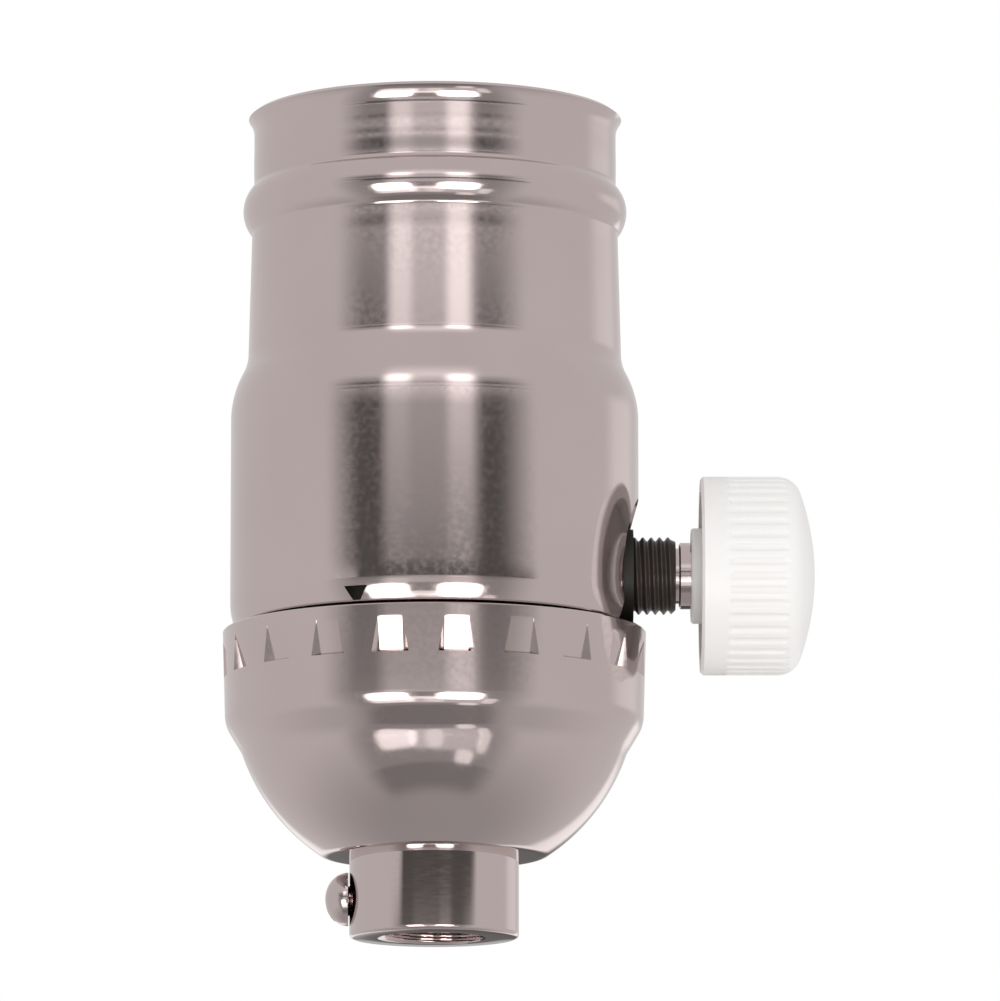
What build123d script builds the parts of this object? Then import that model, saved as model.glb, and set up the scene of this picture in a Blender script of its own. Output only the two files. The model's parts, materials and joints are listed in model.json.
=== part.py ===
from build123d import *
import os
from math import atan, atan2, cos, degrees, radians, sin, sqrt, tan

# Lamp socket with a turn-knob dimmer. All sizes are in millimetres.
# Z is the lamp axis, 0 at the lower end of the hub. X is the dimmer axis, with the knob on the +X side.

# Clearances
seat_gap = 0.25  # between nested shells, sleeves and mouldings
rest_gap = 0.1  # between a loose piece and what it rests against
hole_gap = 0.05  # between a screw, rivet or shaft and its hole

# Lamp thread and its rolled screw shell
lamp_minor_radius = 12.45
lamp_thread_depth = 0.8
lamp_pitch = 3.629
lamp_turns = 5.3
screw_shell_wall = 0.35
mouth_height = 2.4
mouth_ease = 0.1
floor_flange = 4.8  # how far the screw shell's floor reaches in

# Fibre sleeve
sleeve_wall = 0.7
sleeve_air = 1.25
sleeve_rise = 1.5
sleeve_neck_rise = 2.0
sleeve_shoulder_height = 3.0

# Drawn outer shell
shell_wall = 0.5
rim_rise = 0.9
lip_curve = 2.5
lip_turn = 37.0
bead_drop = 8.8
bead_height = 0.97
bead_crown = 3.0
bead_fillet = 0.6
neck_growth = 0.17
neck_taper = 0.28
shoulder_rise = 3.3
shoulder_height = 6.9
shoulder_step = 1.55
shoulder_hollow = 0.32  # share of the shoulder's curve in its upper, hollow arc
tuck_show = 1.6
tuck_height = 4.5
tuck_depth = 0.9
tuck_bend = 0.2  # share of the tuck's curve in its upper bend
hook_height = 1.4
hook_length = 0.9
slot_gap = 2.8
notch_angle = -21.9  # from the front, away from the knob
notch_rise = 0.5
notch_height = 1.25
notch_width = 2.2
notch_foot = 0.7

# Drawn cap and its ring of pressed catches
cap_wall = 0.45
cap_gap = 0.2
collar_draft = 0.25
collar_height = 8.45
collar_fillet = 3.0
bevel_height = 2.5
bevel_step = 1.5
bowl_height = 9.4
bowl_curve = 18.0
bowl_foot = 3.7
bowl_fillet = 1.6
catch_count = 20
catch_width = 2.2  # of a catch's sloping floor
catch_flare = 40.0  # of a catch's sides, from square to its floor
catch_height = 3.15
catch_drop = 1.15
catch_angle = 6.5  # of the first catch, from the front towards the knob

# Turned hub with a pipe thread, and its set screw
pipe_bore_radius = 4.6
hub_wall = 3.0
hub_height = 7.3
hub_chamfer = 0.35
spigot_wall = 1.6
clinch_lip = 1.0
clinch_height = 0.9
set_screw_radius = 1.5
set_screw_height = 3.5
set_head_radius = 2.4
set_head_height = 2.1
slot_width = 0.7
slot_depth = 0.9

# Moulded bodies inside
flange_rise = 1.7
plug_inset = 0.6
plug_depth = 2.4
housing_wall = 1.5
housing_roof = 2.0
contact_base_height = 6.0
base_flange_height = 2.0
post_radius = 2.4
post_inset = 2.0

# Rotary control, along X
control_radius = 7.0
control_floor_room = 4.9
control_roof_room = 2.7
boss_radius = 4.2
boss_sink = 0.5
seat_depth = 1.9
bushing_radius = 3.5
bushing_reach = 3.3
bushing_flange_lip = 1.7
bushing_flange_thickness = 1.2
bushing_chamfer = 0.4
shaft_radius = 2.5
shaft_end_radius = 3.0
shaft_end_gap = 0.3
shaft_flat = 1.2
shaft_tail = 0.4
track_hole_gap = 0.5
track_thickness = 1.0
track_tongue = 1.6
wiper_gap = 0.3
wiper_thickness = 0.4
wiper_ring = 1.2
wiper_pad_radius = 0.8
rotor_thickness = 2.0
rotor_room = 1.1
can_wall = 0.5
can_depth = 4.8
lug_width = 1.4
lug_thickness = 0.4
lug_pitch = 4.6
lug_lap = 1.4
lug_drop = 1.9

# Knob
knob_gap = 1.4
knob_neck_length = 0.85
knob_neck_wall = 1.3
knob_radius = 8.95
knob_skirt = 8.4
knob_dome = 1.9
knob_edge = 2.2
knob_wall = 1.4
knob_hollow = 5.0
knob_bore_depth = 7.5
rib_count = 44
rib_groove_radius = 0.42
rib_groove_depth = 0.24
rib_start = 2.4

# Contacts, terminals and fasteners
strip_thickness = 0.5
strip_width = 4.0
strap_inset = 1.5
tongue_width = 4.4
tongue_rise = 2.9
tongue_apex = 0.6
tongue_reach = 2.4
tongue_fall = 0.8
tongue_bend = 0.8
rivet_radius = 1.0
rivet_head_radius = 1.7
rivet_head_height = 0.6
rivet_recess = 1.2
contact_rivet_y = 5.0
contact_lug_drop = 4.5
terminal_offset = 8.5
terminal_screw_radius = 1.6
terminal_screw_length = 3.4
terminal_head_radius = 3.0
terminal_head_height = 2.0
terminal_plate_reach = 3.5
line_tab_rise = 1.0
assembly_screw_radius = 1.25
assembly_head_radius = 2.1
assembly_head_height = 1.9
assembly_screw_grip = 3.8

# Circuit board and its parts
board_thickness = 1.2
board_margin = 1.0
triac_width = 10.0
triac_body_thickness = 3.2
triac_body_height = 9.0
triac_tab_thickness = 1.3
triac_tab_height = 15.5
triac_offset = 4.2
triac_lift = 1.6  # of the tab's middle above the sink's
triac_hole_drop = 2.9
triac_standoff = 1.2
triac_lead_drop = 1.4
triac_lead_width = 0.8
triac_lead_thickness = 0.5
triac_lead_pitch = 2.54
triac_screw_radius = 1.45
triac_head_radius = 2.5
triac_head_height = 1.6
triac_nut_flats = 5.5
triac_nut_height = 2.2
sink_thickness = 1.0
sink_width = 20.0
sink_fin = 4.0
sink_height = 19.5
capacitor_width = 7.6
capacitor_height = 9.0
capacitor_lift = 2.1
capacitor_offset = 5.4
capacitor_edge = 0.6
capacitor_depth = 4.5
capacitor_pin_pitch = 5.0
capacitor_pin_lift = 1.2
lead_radius = 0.25
lead_bend = 1.2
resistor_radius = 1.1
resistor_length = 5.0
resistor_lift = 13.6
diac_radius = 0.9
diac_length = 3.6
diac_lift = 17.2
choke_radius = 3.2
choke_wire_radius = 1.6
choke_room = 1.4

# Heights worked out from the sizes above
bowl_top_z = hub_height + bowl_height
collar_foot_z = bowl_top_z + bevel_height
cap_rim_z = collar_foot_z + collar_height
floor_z = collar_foot_z + flange_rise
axis_z = floor_z + control_floor_room + control_radius
roof_z = axis_z + control_radius + control_roof_room
housing_top_z = roof_z + housing_roof
lamp_floor_z = housing_top_z + contact_base_height
thread_foot_z = lamp_floor_z + screw_shell_wall
mouth_z = thread_foot_z + lamp_turns * lamp_pitch
screw_shell_top_z = mouth_z + mouth_height
sleeve_top_z = screw_shell_top_z + sleeve_rise
rim_z = sleeve_top_z + rim_rise
bead_z = rim_z - bead_drop
shoulder_top_z = lamp_floor_z + shoulder_rise
tuck_top_z = cap_rim_z + tuck_show

# Radii worked out from the lamp thread outwards
thread_wave = lamp_thread_depth / 2
thread_radius = lamp_minor_radius + thread_wave
mouth_radius = lamp_minor_radius + lamp_thread_depth + mouth_ease
mouth_outer_radius = mouth_radius + screw_shell_wall
sleeve_neck_radius = mouth_outer_radius + sleeve_air
neck_radius = sleeve_neck_radius + sleeve_wall + seat_gap + shell_wall
lower_neck_radius = neck_radius + neck_growth
shoulder_radius = lower_neck_radius + neck_taper
body_radius = shoulder_radius + shoulder_step
tuck_radius = body_radius - tuck_depth
collar_radius = body_radius + cap_gap + cap_wall
collar_foot_radius = collar_radius - collar_draft
bowl_top_radius = collar_foot_radius - bevel_step
sleeve_body_radius = tuck_radius - shell_wall - seat_gap - sleeve_wall
housing_radius = sleeve_body_radius - seat_gap
cavity_radius = housing_radius - housing_wall
hub_radius = pipe_bore_radius + hub_wall
spigot_radius = pipe_bore_radius + spigot_wall
post_y = cavity_radius - post_inset

# Stations along the dimmer axis
control_seat_x = cavity_radius - seat_depth
track_front_x = control_seat_x - bushing_flange_thickness
track_back_x = track_front_x - track_thickness
can_back_x = track_back_x - can_depth
wiper_front_x = track_back_x - wiper_gap
rotor_front_x = wiper_front_x - wiper_thickness
rotor_back_x = rotor_front_x - rotor_thickness
boss_face_x = body_radius - boss_sink
bushing_end_x = body_radius + bushing_reach
knob_neck_x = bushing_end_x + knob_gap
knob_back_x = knob_neck_x + knob_neck_length
knob_skirt_x = knob_back_x + knob_skirt
board_back_x = post_radius + rest_gap
board_front_x = board_back_x + board_thickness

# Places of the contacts and terminals
rivet_x = lamp_minor_radius - floor_flange / 2
strap_x = -(cavity_radius - strap_inset)
strap_end_x = rivet_head_radius - rivet_x
line_tab_x = board_front_x + rest_gap

control_axis = Axis((0, 0, axis_z), (1, 0, 0))
set_screw_axis = Axis((0, 0, set_screw_height), (1, 0, 0))


def level(z):
    """Horizontal plane at a height."""
    return Plane.XY.offset(z)


def across(x, z=0.0):
    """Plane square to X: its own x is Y and its own y is height above z."""
    return Plane(origin=(x, 0, z), x_dir=(0, 1, 0), z_dir=(1, 0, 0))


def lengthwise(z=0.0, y=0.0):
    """Plane of X and Z: its own x is X and its own y is height above z."""
    return Plane(origin=(0, y, z), x_dir=(1, 0, 0), z_dir=(0, -1, 0))


def joggle(start, drop, step, first_share=0.5, inset=0.0):
    """Two tangent arcs that carry a wall, running down, sideways by step over drop.

    inset draws the wall's inner side, parallel to the outer one.
    """
    turn = 2 * atan(abs(step) / drop)
    total = drop / sin(turn)
    side = 1 if step > 0 else -1
    first = JernArc(start, (0, -1), first_share * total + side * inset, side * degrees(turn))
    second_radius = (1 - first_share) * total - side * inset
    return JernArc(first @ 1, first % 1, second_radius, -side * degrees(turn))


def wall_ring(outline, wall):
    """Section of a drawn wall: the area inside its outer line less the area inside its inner one."""
    with BuildSketch(Plane.XZ) as section:
        with BuildLine():
            outline(0)
        make_face()
        with BuildLine():
            outline(wall)
        make_face(mode=Mode.SUBTRACT)
    return section.sketch


# Outer shell: lip, rolled bead, neck, shoulder, body and the tucked end that the cap holds
crown_radius = neck_radius + bead_height - bead_crown
lip_foot_z = rim_z - (lip_curve + shell_wall) * sin(radians(lip_turn))
lip_inner_radius = neck_radius + lip_curve - (lip_curve + shell_wall) * cos(radians(lip_turn))


def bead_foot(wall_radius):
    """Half height and angle of the bead where its fillet meets a wall of this radius."""
    out = wall_radius + bead_fillet - crown_radius
    rise = sqrt((bead_crown + bead_fillet) ** 2 - out**2)
    return rise, degrees(atan2(rise, out))


def shell_outline(inset):
    """Shell's outer line, or its inner one, from the lip down to the hooked end, closed on the axis."""
    upper_rise, upper_angle = bead_foot(neck_radius)
    lower_angle = bead_foot(lower_neck_radius)[1]
    hook_step = tuck_depth + cap_gap - collar_draft - seat_gap
    lip = JernArc((neck_radius - inset, lip_foot_z), (0, 1), lip_curve + inset, -lip_turn)
    upper_neck = Line(lip @ 0, (neck_radius - inset, bead_z + upper_rise))
    bead_top = JernArc(upper_neck @ 1, (0, -1), bead_fillet + inset, upper_angle)
    crown = JernArc(bead_top @ 1, bead_top % 1, bead_crown - inset, -upper_angle - lower_angle)
    bead_under = JernArc(crown @ 1, crown % 1, bead_fillet + inset, lower_angle)
    neck = Line(bead_under @ 1, (shoulder_radius - inset, shoulder_top_z))
    shoulder = joggle(neck @ 1, shoulder_height, shoulder_step, shoulder_hollow, inset)
    body = Line(shoulder @ 1, (body_radius - inset, tuck_top_z))
    tuck = joggle(body @ 1, tuck_height, -tuck_depth, tuck_bend, inset)
    straight = Line(tuck @ 1, (tuck_radius - inset, floor_z + hook_length + hook_height))
    hook = joggle(straight @ 1, hook_height, hook_step, inset=inset)
    hook_end = Line(hook @ 1, (tuck_radius + hook_step - inset, floor_z))
    Polyline(hook_end @ 1, (0, floor_z), (0, rim_z), (lip_inner_radius, rim_z))
    if inset < shell_wall:
        Line((lip_inner_radius, rim_z), lip @ 1)


def bushing_slot():
    """Round-topped slot around the control's boss, open at the wall's lower end."""
    slot_radius = boss_radius + slot_gap
    with BuildSketch(across(0, axis_z)) as slot:
        Circle(slot_radius)
        with Locations((0, (floor_z - axis_z) / 2)):
            Rectangle(2 * slot_radius, axis_z - floor_z)
    return slot.sketch


with BuildPart() as outer_shell:
    revolve(wall_ring(shell_outline, shell_wall), axis=Axis.Z)
    extrude(bushing_slot(), amount=2 * body_radius, mode=Mode.SUBTRACT)
    notch_turn = radians(notch_angle)
    notch_plane = Plane(
        origin=(0, 0, cap_rim_z + notch_rise),
        x_dir=(cos(notch_turn), sin(notch_turn), 0),
        z_dir=(sin(notch_turn), -cos(notch_turn), 0),
    )
    with BuildSketch(notch_plane):
        with BuildLine():
            Polyline(
                (-notch_foot / 2, 0),
                (notch_foot / 2, 0),
                (notch_width / 2, notch_height),
                (-notch_width / 2, notch_height),
                close=True,
            )
        make_face()
    extrude(amount=2 * body_radius, mode=Mode.SUBTRACT)


# Fibre sleeve: follows the shell's neck and body, open at both ends, with the same slot
def sleeve_outline(inset):
    """Sleeve's outer line, or its inner one, closed on the axis."""
    neck_out = sleeve_neck_radius + sleeve_wall - inset
    body_out = sleeve_body_radius + sleeve_wall - inset
    neck = Line((neck_out, sleeve_top_z), (neck_out, lamp_floor_z + sleeve_neck_rise))
    shoulder = joggle(neck @ 1, sleeve_shoulder_height, body_out - neck_out, inset=inset)
    body = Line(shoulder @ 1, (body_out, floor_z))
    Polyline(body @ 1, (0, floor_z), (0, sleeve_top_z), neck @ 0)


with BuildPart() as insulating_sleeve:
    revolve(wall_ring(sleeve_outline, sleeve_wall), axis=Axis.Z)
    extrude(bushing_slot(), amount=2 * body_radius, mode=Mode.SUBTRACT)

# Screw shell: a round section carried round a small helix gives the rolled thread of the lamp
with BuildLine() as thread_path:
    Helix(lamp_pitch, mouth_z - thread_foot_z, thread_wave, center=(0, 0, thread_foot_z))

with BuildPart() as thread_outside:
    with BuildSketch(level(thread_foot_z)):
        with Locations((thread_wave, 0)):
            Circle(thread_radius + screw_shell_wall)
    sweep(path=thread_path.line, normal=(0, 0, 1))

with BuildPart() as thread_inside:
    with BuildSketch(level(thread_foot_z)):
        with Locations((thread_wave, 0)):
            Circle(thread_radius)
    sweep(path=thread_path.line, normal=(0, 0, 1))

with BuildPart() as screw_shell:
    add(thread_outside.part)
    add(thread_inside.part, mode=Mode.SUBTRACT)
    with BuildSketch(level(lamp_floor_z)):
        Circle(mouth_outer_radius)
        Circle(lamp_minor_radius - floor_flange, mode=Mode.SUBTRACT)
    extrude(amount=screw_shell_wall)
    with BuildSketch(level(mouth_z)):
        Circle(mouth_outer_radius)
        Circle(mouth_radius, mode=Mode.SUBTRACT)
    extrude(amount=mouth_height)
    thread_end = thread_path.line @ 1
    with BuildSketch(level(mouth_z)):
        Circle(mouth_outer_radius)
        with Locations((thread_end.X, thread_end.Y)):
            Circle(thread_radius, mode=Mode.SUBTRACT)
    extrude(amount=screw_shell_wall)
    with Locations((rivet_x, 0, lamp_floor_z), (-rivet_x, 0, lamp_floor_z)):
        Cylinder(rivet_radius + hole_gap, 2 * screw_shell_wall, mode=Mode.SUBTRACT)

# Cap: flat foot, round bowl, bevelled step and a collar with pressed catches that hold the shell's hook
catch_top_z = cap_rim_z - catch_drop
catch_foot_z = catch_top_z - catch_height
catch_depth = cap_gap + tuck_depth - seat_gap
catch_top_radius = collar_radius - collar_draft * catch_drop / collar_height
wall_middle = collar_foot_radius - cap_wall / 2


def leaning_sides(wall):
    """Solid that spreads outwards from a catch's sloping floor, grown by the wall behind it."""
    slope = atan2(catch_top_radius - collar_radius + catch_depth, catch_height)
    sloping_floor = Plane(
        origin=(collar_radius - wall - catch_depth, 0, catch_foot_z),
        x_dir=(0, 1, 0),
        z_dir=(cos(slope), 0, -sin(slope)),
    )
    growth = wall * tan(radians(90 - catch_flare) / 2)
    with BuildPart() as sides:
        with BuildSketch(sloping_floor):
            Rectangle(catch_width + 2 * growth, 4 * catch_height)
        extrude(amount=2 * (catch_depth + cap_wall), taper=-catch_flare)
    return sides.part


with BuildPart() as catch_bulge:
    with BuildSketch(Plane.XZ):
        with BuildLine():
            Polyline(
                (wall_middle, catch_top_z),
                (catch_top_radius - cap_wall, catch_top_z),
                (collar_radius - cap_wall - catch_depth, catch_foot_z),
                (wall_middle, catch_foot_z),
                close=True,
            )
        make_face()
    extrude(amount=2 * catch_width, both=True)
    add(leaning_sides(cap_wall), mode=Mode.INTERSECT)

with BuildPart() as catch_pocket:
    with BuildSketch(Plane.XZ):
        with BuildLine():
            Polyline(
                (collar_radius + cap_wall, catch_top_z),
                (catch_top_radius, catch_top_z),
                (collar_radius - catch_depth, catch_foot_z),
                (collar_radius + cap_wall, catch_foot_z),
                close=True,
            )
        make_face()
    extrude(amount=2 * catch_width, both=True)
    add(leaning_sides(0), mode=Mode.INTERSECT)

with BuildPart() as socket_cap:
    with BuildSketch(Plane.XZ) as bowl_section:
        with BuildLine():
            bowl_foot_radius = spigot_radius + bowl_foot
            foot = Line((0, hub_height), (bowl_foot_radius, hub_height))
            bowl = RadiusArc(foot @ 1, (bowl_top_radius, bowl_top_z), -bowl_curve)
            bevel = Line(bowl @ 1, (collar_foot_radius, collar_foot_z))
            collar = Line(bevel @ 1, (collar_radius, cap_rim_z))
            Polyline(collar @ 1, (0, cap_rim_z), (0, hub_height))
        make_face()
        fillet(bowl_section.vertices().sort_by_distance(foot @ 1)[0], bowl_fillet)
        fillet(bowl_section.vertices().sort_by_distance(bevel @ 1)[0], collar_fillet)
    revolve(axis=Axis.Z)
    offset(amount=-cap_wall, openings=socket_cap.faces().sort_by(Axis.Z)[-1], kind=Kind.INTERSECTION)
    with Locations((0, 0, hub_height)):
        Cylinder(spigot_radius + hole_gap, 4 * cap_wall, mode=Mode.SUBTRACT)
    with PolarLocations(0, catch_count, start_angle=catch_angle - 90):
        add(catch_bulge.part)
    with PolarLocations(0, catch_count, start_angle=catch_angle - 90):
        add(catch_pocket.part, mode=Mode.SUBTRACT)

# Hub: turned body below the cap, spigot through it and a clinched lip above
with BuildPart() as cap_hub:
    clinch_foot_z = hub_height + cap_wall
    with BuildSketch(Plane.XZ):
        with BuildLine():
            Polyline(
                (pipe_bore_radius, 0),
                (hub_radius - hub_chamfer, 0),
                (hub_radius, hub_chamfer),
                (hub_radius, hub_height),
                (spigot_radius, hub_height),
                (spigot_radius, clinch_foot_z),
                (spigot_radius + clinch_lip, clinch_foot_z),
                (spigot_radius, clinch_foot_z + clinch_height),
                (pipe_bore_radius, clinch_foot_z + clinch_height),
                close=True,
            )
        make_face()
    revolve(axis=Axis.Z)
    with BuildSketch(across(0, set_screw_height)):
        Circle(set_screw_radius + hole_gap)
    extrude(amount=-2 * hub_radius, mode=Mode.SUBTRACT)

# Set screw: round slotted head outside the hub, tip level with the pipe bore
with BuildPart() as set_screw:
    head_seat_x = -hub_radius - rest_gap
    head_top_x = head_seat_x - set_head_height
    head_curve = (set_head_radius**2 + set_head_height**2) / (2 * set_head_height)
    with BuildSketch(lengthwise(set_screw_height)):
        with BuildLine():
            under_head = Polyline(
                (head_top_x, 0),
                (-pipe_bore_radius - hole_gap, 0),
                (-pipe_bore_radius - hole_gap, set_screw_radius),
                (head_seat_x, set_screw_radius),
                (head_seat_x, set_head_radius),
            )
            RadiusArc(under_head @ 1, under_head @ 0, -head_curve)
        make_face()
    revolve(axis=set_screw_axis)
    with Locations((head_top_x, 0, set_screw_height)):
        Box(2 * slot_depth, slot_width, 3 * set_head_radius, mode=Mode.SUBTRACT)

# Terminal base: lower cover whose flange rests on the cap's bevel and carries the sleeve and shell
bevel_slope = bevel_step / bevel_height
bevel_inner = collar_foot_radius - cap_wall * sqrt(1 + bevel_slope**2)
flange_radius = collar_foot_radius - cap_wall - seat_gap
flange_foot_z = collar_foot_z - (bevel_inner - flange_radius - rest_gap) / bevel_slope
plug_radius = housing_radius - plug_inset
plug_foot_z = flange_foot_z - plug_depth
counterbore_z = plug_foot_z + assembly_head_height

with BuildPart() as terminal_base:
    with BuildSketch(level(plug_foot_z)):
        Circle(plug_radius)
    extrude(amount=plug_depth)
    with BuildSketch(level(flange_foot_z)):
        Circle(flange_radius)
    extrude(amount=floor_z - flange_foot_z)
    with BuildSketch(level(plug_foot_z)):
        with Locations((0, post_y), (0, -post_y)):
            Circle(assembly_screw_radius + hole_gap)
        with Locations((strap_x, 0), (line_tab_x + strip_thickness / 2, 0)):
            Rectangle(strip_thickness + 2 * rest_gap, strip_width + 2 * rest_gap)
    extrude(amount=floor_z - plug_foot_z, mode=Mode.SUBTRACT)
    with BuildSketch(level(plug_foot_z)):
        with Locations((0, post_y), (0, -post_y)):
            Circle(assembly_head_radius + rest_gap)
    extrude(amount=assembly_head_height, mode=Mode.SUBTRACT)
    with BuildSketch(level(plug_foot_z)):
        with Locations((terminal_offset, 0), (-terminal_offset, 0)):
            Circle(terminal_screw_radius + hole_gap)
    extrude(amount=terminal_screw_length, mode=Mode.SUBTRACT)

# Dimmer housing: moulded cup with two screw posts and the boss that stands in the shell's slot
with BuildPart() as dimmer_housing:
    with BuildSketch(level(floor_z)):
        Circle(housing_radius)
    extrude(amount=housing_top_z - floor_z)
    with BuildSketch(level(floor_z)):
        Circle(cavity_radius)
    extrude(amount=roof_z - floor_z, mode=Mode.SUBTRACT)
    with BuildSketch(level(floor_z)):
        with Locations((0, post_y), (0, -post_y)):
            Circle(post_radius)
    extrude(amount=roof_z - floor_z)
    with BuildSketch(across(control_seat_x, axis_z)):
        Circle(boss_radius)
    extrude(amount=boss_face_x - control_seat_x)
    with BuildSketch(across(control_seat_x, axis_z)):
        Circle(bushing_radius + hole_gap)
    extrude(amount=boss_face_x - control_seat_x, mode=Mode.SUBTRACT)
    with BuildSketch(level(floor_z)):
        with Locations((0, post_y), (0, -post_y)):
            Circle(assembly_screw_radius + hole_gap)
        with Locations((0, -contact_rivet_y)):
            Circle(rivet_radius + hole_gap)
        with Locations((strap_x, 0)):
            Rectangle(strip_thickness + 2 * rest_gap, strip_width + 2 * rest_gap)
    extrude(amount=housing_top_z - floor_z, mode=Mode.SUBTRACT)

# Contact base: upper moulding that carries the lamp's contacts
with BuildPart() as contact_base:
    with BuildSketch(level(housing_top_z)):
        Circle(housing_radius)
    extrude(amount=base_flange_height)
    with BuildSketch(level(housing_top_z)):
        Circle(sleeve_neck_radius - seat_gap)
    extrude(amount=contact_base_height)
    with BuildSketch(level(housing_top_z)):
        with Locations((rivet_x, 0), (-rivet_x, 0), (0, -contact_rivet_y)):
            Circle(rivet_radius + hole_gap)
        with Locations((strap_x, 0)):
            Rectangle(strip_thickness + 2 * rest_gap, strip_width + 2 * rest_gap)
    extrude(amount=contact_base_height, mode=Mode.SUBTRACT)
    with BuildSketch(level(housing_top_z)):
        with Locations((rivet_x, 0), (-rivet_x, 0)):
            Circle(rivet_head_radius + rest_gap)
    extrude(amount=rivet_recess, mode=Mode.SUBTRACT)
    with BuildSketch(level(housing_top_z)):
        with Locations((0, post_y), (0, -post_y)):
            Circle(assembly_screw_radius + hole_gap)
    extrude(amount=assembly_screw_grip + rest_gap, mode=Mode.SUBTRACT)
    with BuildSketch(level(lamp_floor_z)):
        with Locations(((strap_x + strap_end_x) / 2, 0)):
            Rectangle(strap_end_x - strap_x + strip_thickness + 2 * rest_gap, strip_width + 2 * rest_gap)
    extrude(amount=-strip_thickness, mode=Mode.SUBTRACT)

# Two long screws hold the terminal base, housing and contact base together
with BuildPart() as assembly_screws:
    head_foot_z = plug_foot_z + rest_gap
    with BuildSketch(level(head_foot_z)):
        with Locations((0, post_y), (0, -post_y)):
            Circle(assembly_head_radius)
    extrude(amount=counterbore_z - rest_gap - head_foot_z)
    with BuildSketch(level(head_foot_z)):
        with Locations((0, post_y), (0, -post_y)):
            Circle(assembly_screw_radius)
    extrude(amount=housing_top_z + assembly_screw_grip - head_foot_z)
    with Locations((0, post_y, head_foot_z), (0, -post_y, head_foot_z)):
        Box(3 * assembly_head_radius, slot_width, 2 * slot_depth, mode=Mode.SUBTRACT)


def rivet(seat_z, tail_z):
    """Round rivet on the axis, from its seat down to its tail, with a low head at each end."""
    with BuildPart() as body:
        with BuildSketch(level(tail_z)):
            Circle(rivet_radius)
        extrude(amount=seat_z - tail_z)
        with BuildSketch(level(seat_z), level(tail_z - rivet_head_height)):
            Circle(rivet_head_radius)
        extrude(amount=rivet_head_height)
    return body.part


with BuildPart() as shell_rivets:
    with Locations((rivet_x, 0), (-rivet_x, 0)):
        add(rivet(thread_foot_z, housing_top_z + rivet_recess))

with BuildPart() as contact_rivet:
    with Locations((0, -contact_rivet_y)):
        add(rivet(lamp_floor_z + strip_thickness, roof_z - strip_thickness))

# Centre contact: springy tongue that rises to the lamp's button
with BuildPart() as center_contact:
    tongue_tip_z = lamp_floor_z + tongue_rise - tongue_fall
    tongue_root_y = rivet_head_radius - contact_rivet_y
    with BuildSketch(across(0)) as tongue_section:
        with BuildLine():
            under = Polyline(
                (-rivet_head_radius - contact_rivet_y, lamp_floor_z),
                (tongue_root_y, lamp_floor_z),
                (tongue_apex, lamp_floor_z + tongue_rise),
                (tongue_reach, tongue_tip_z),
            )
            over = Polyline(
                (-rivet_head_radius - contact_rivet_y, lamp_floor_z + strip_thickness),
                (tongue_root_y, lamp_floor_z + strip_thickness),
                (tongue_apex, lamp_floor_z + tongue_rise + strip_thickness),
                (tongue_reach, tongue_tip_z + strip_thickness),
            )
            Line(under @ 0, over @ 0)
            Line(under @ 1, over @ 1)
        make_face()
        bends = tongue_section.vertices().sort_by(Axis.X)[2:6]
        fillet(bends, tongue_bend)
    extrude(amount=tongue_width / 2, both=True)
    with Locations((0, -contact_rivet_y, lamp_floor_z)):
        Cylinder(rivet_radius + hole_gap, 4 * strip_thickness, mode=Mode.SUBTRACT)

# Contact lug: under the housing's roof, bent down behind the board
with BuildPart() as contact_lug:
    lug_face_x = board_back_x - rest_gap
    with BuildSketch(lengthwise(0, -contact_rivet_y)):
        with BuildLine():
            Polyline(
                (-rivet_head_radius, roof_z),
                (-rivet_head_radius, roof_z - strip_thickness),
                (lug_face_x - strip_thickness, roof_z - strip_thickness),
                (lug_face_x - strip_thickness, roof_z - contact_lug_drop),
                (lug_face_x, roof_z - contact_lug_drop),
                (lug_face_x, roof_z),
                close=True,
            )
        make_face()
    extrude(amount=strip_width / 2, both=True)
    with Locations((0, -contact_rivet_y, roof_z)):
        Cylinder(rivet_radius + hole_gap, 4 * strip_thickness, mode=Mode.SUBTRACT)

# Terminals: the neutral strap runs up to the screw shell, the line plate up to the board
strip_foot_z = plug_foot_z - strip_thickness

with BuildPart() as neutral_terminal:
    strap_back_x = strap_x - strip_thickness / 2
    strap_front_x = strap_x + strip_thickness / 2
    with BuildSketch(lengthwise()):
        with BuildLine():
            Polyline(
                (strap_back_x, strip_foot_z),
                (terminal_plate_reach - terminal_offset, strip_foot_z),
                (terminal_plate_reach - terminal_offset, plug_foot_z),
                (strap_front_x, plug_foot_z),
                (strap_front_x, lamp_floor_z - strip_thickness),
                (strap_end_x, lamp_floor_z - strip_thickness),
                (strap_end_x, lamp_floor_z),
                (strap_back_x, lamp_floor_z),
                close=True,
            )
        make_face()
    extrude(amount=strip_width / 2, both=True)
    with Locations((-terminal_offset, 0, plug_foot_z)):
        Cylinder(terminal_screw_radius + hole_gap, 4 * strip_thickness, mode=Mode.SUBTRACT)
    with Locations((-rivet_x, 0, lamp_floor_z)):
        Cylinder(rivet_radius + hole_gap, 4 * strip_thickness, mode=Mode.SUBTRACT)

with BuildPart() as line_terminal:
    with BuildSketch(lengthwise()):
        with BuildLine():
            Polyline(
                (line_tab_x, floor_z + line_tab_rise),
                (line_tab_x, strip_foot_z),
                (terminal_offset + terminal_plate_reach, strip_foot_z),
                (terminal_offset + terminal_plate_reach, plug_foot_z),
                (line_tab_x + strip_thickness, plug_foot_z),
                (line_tab_x + strip_thickness, floor_z + line_tab_rise),
                close=True,
            )
        make_face()
    extrude(amount=strip_width / 2, both=True)
    with Locations((terminal_offset, 0, plug_foot_z)):
        Cylinder(terminal_screw_radius + hole_gap, 4 * strip_thickness, mode=Mode.SUBTRACT)


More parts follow.
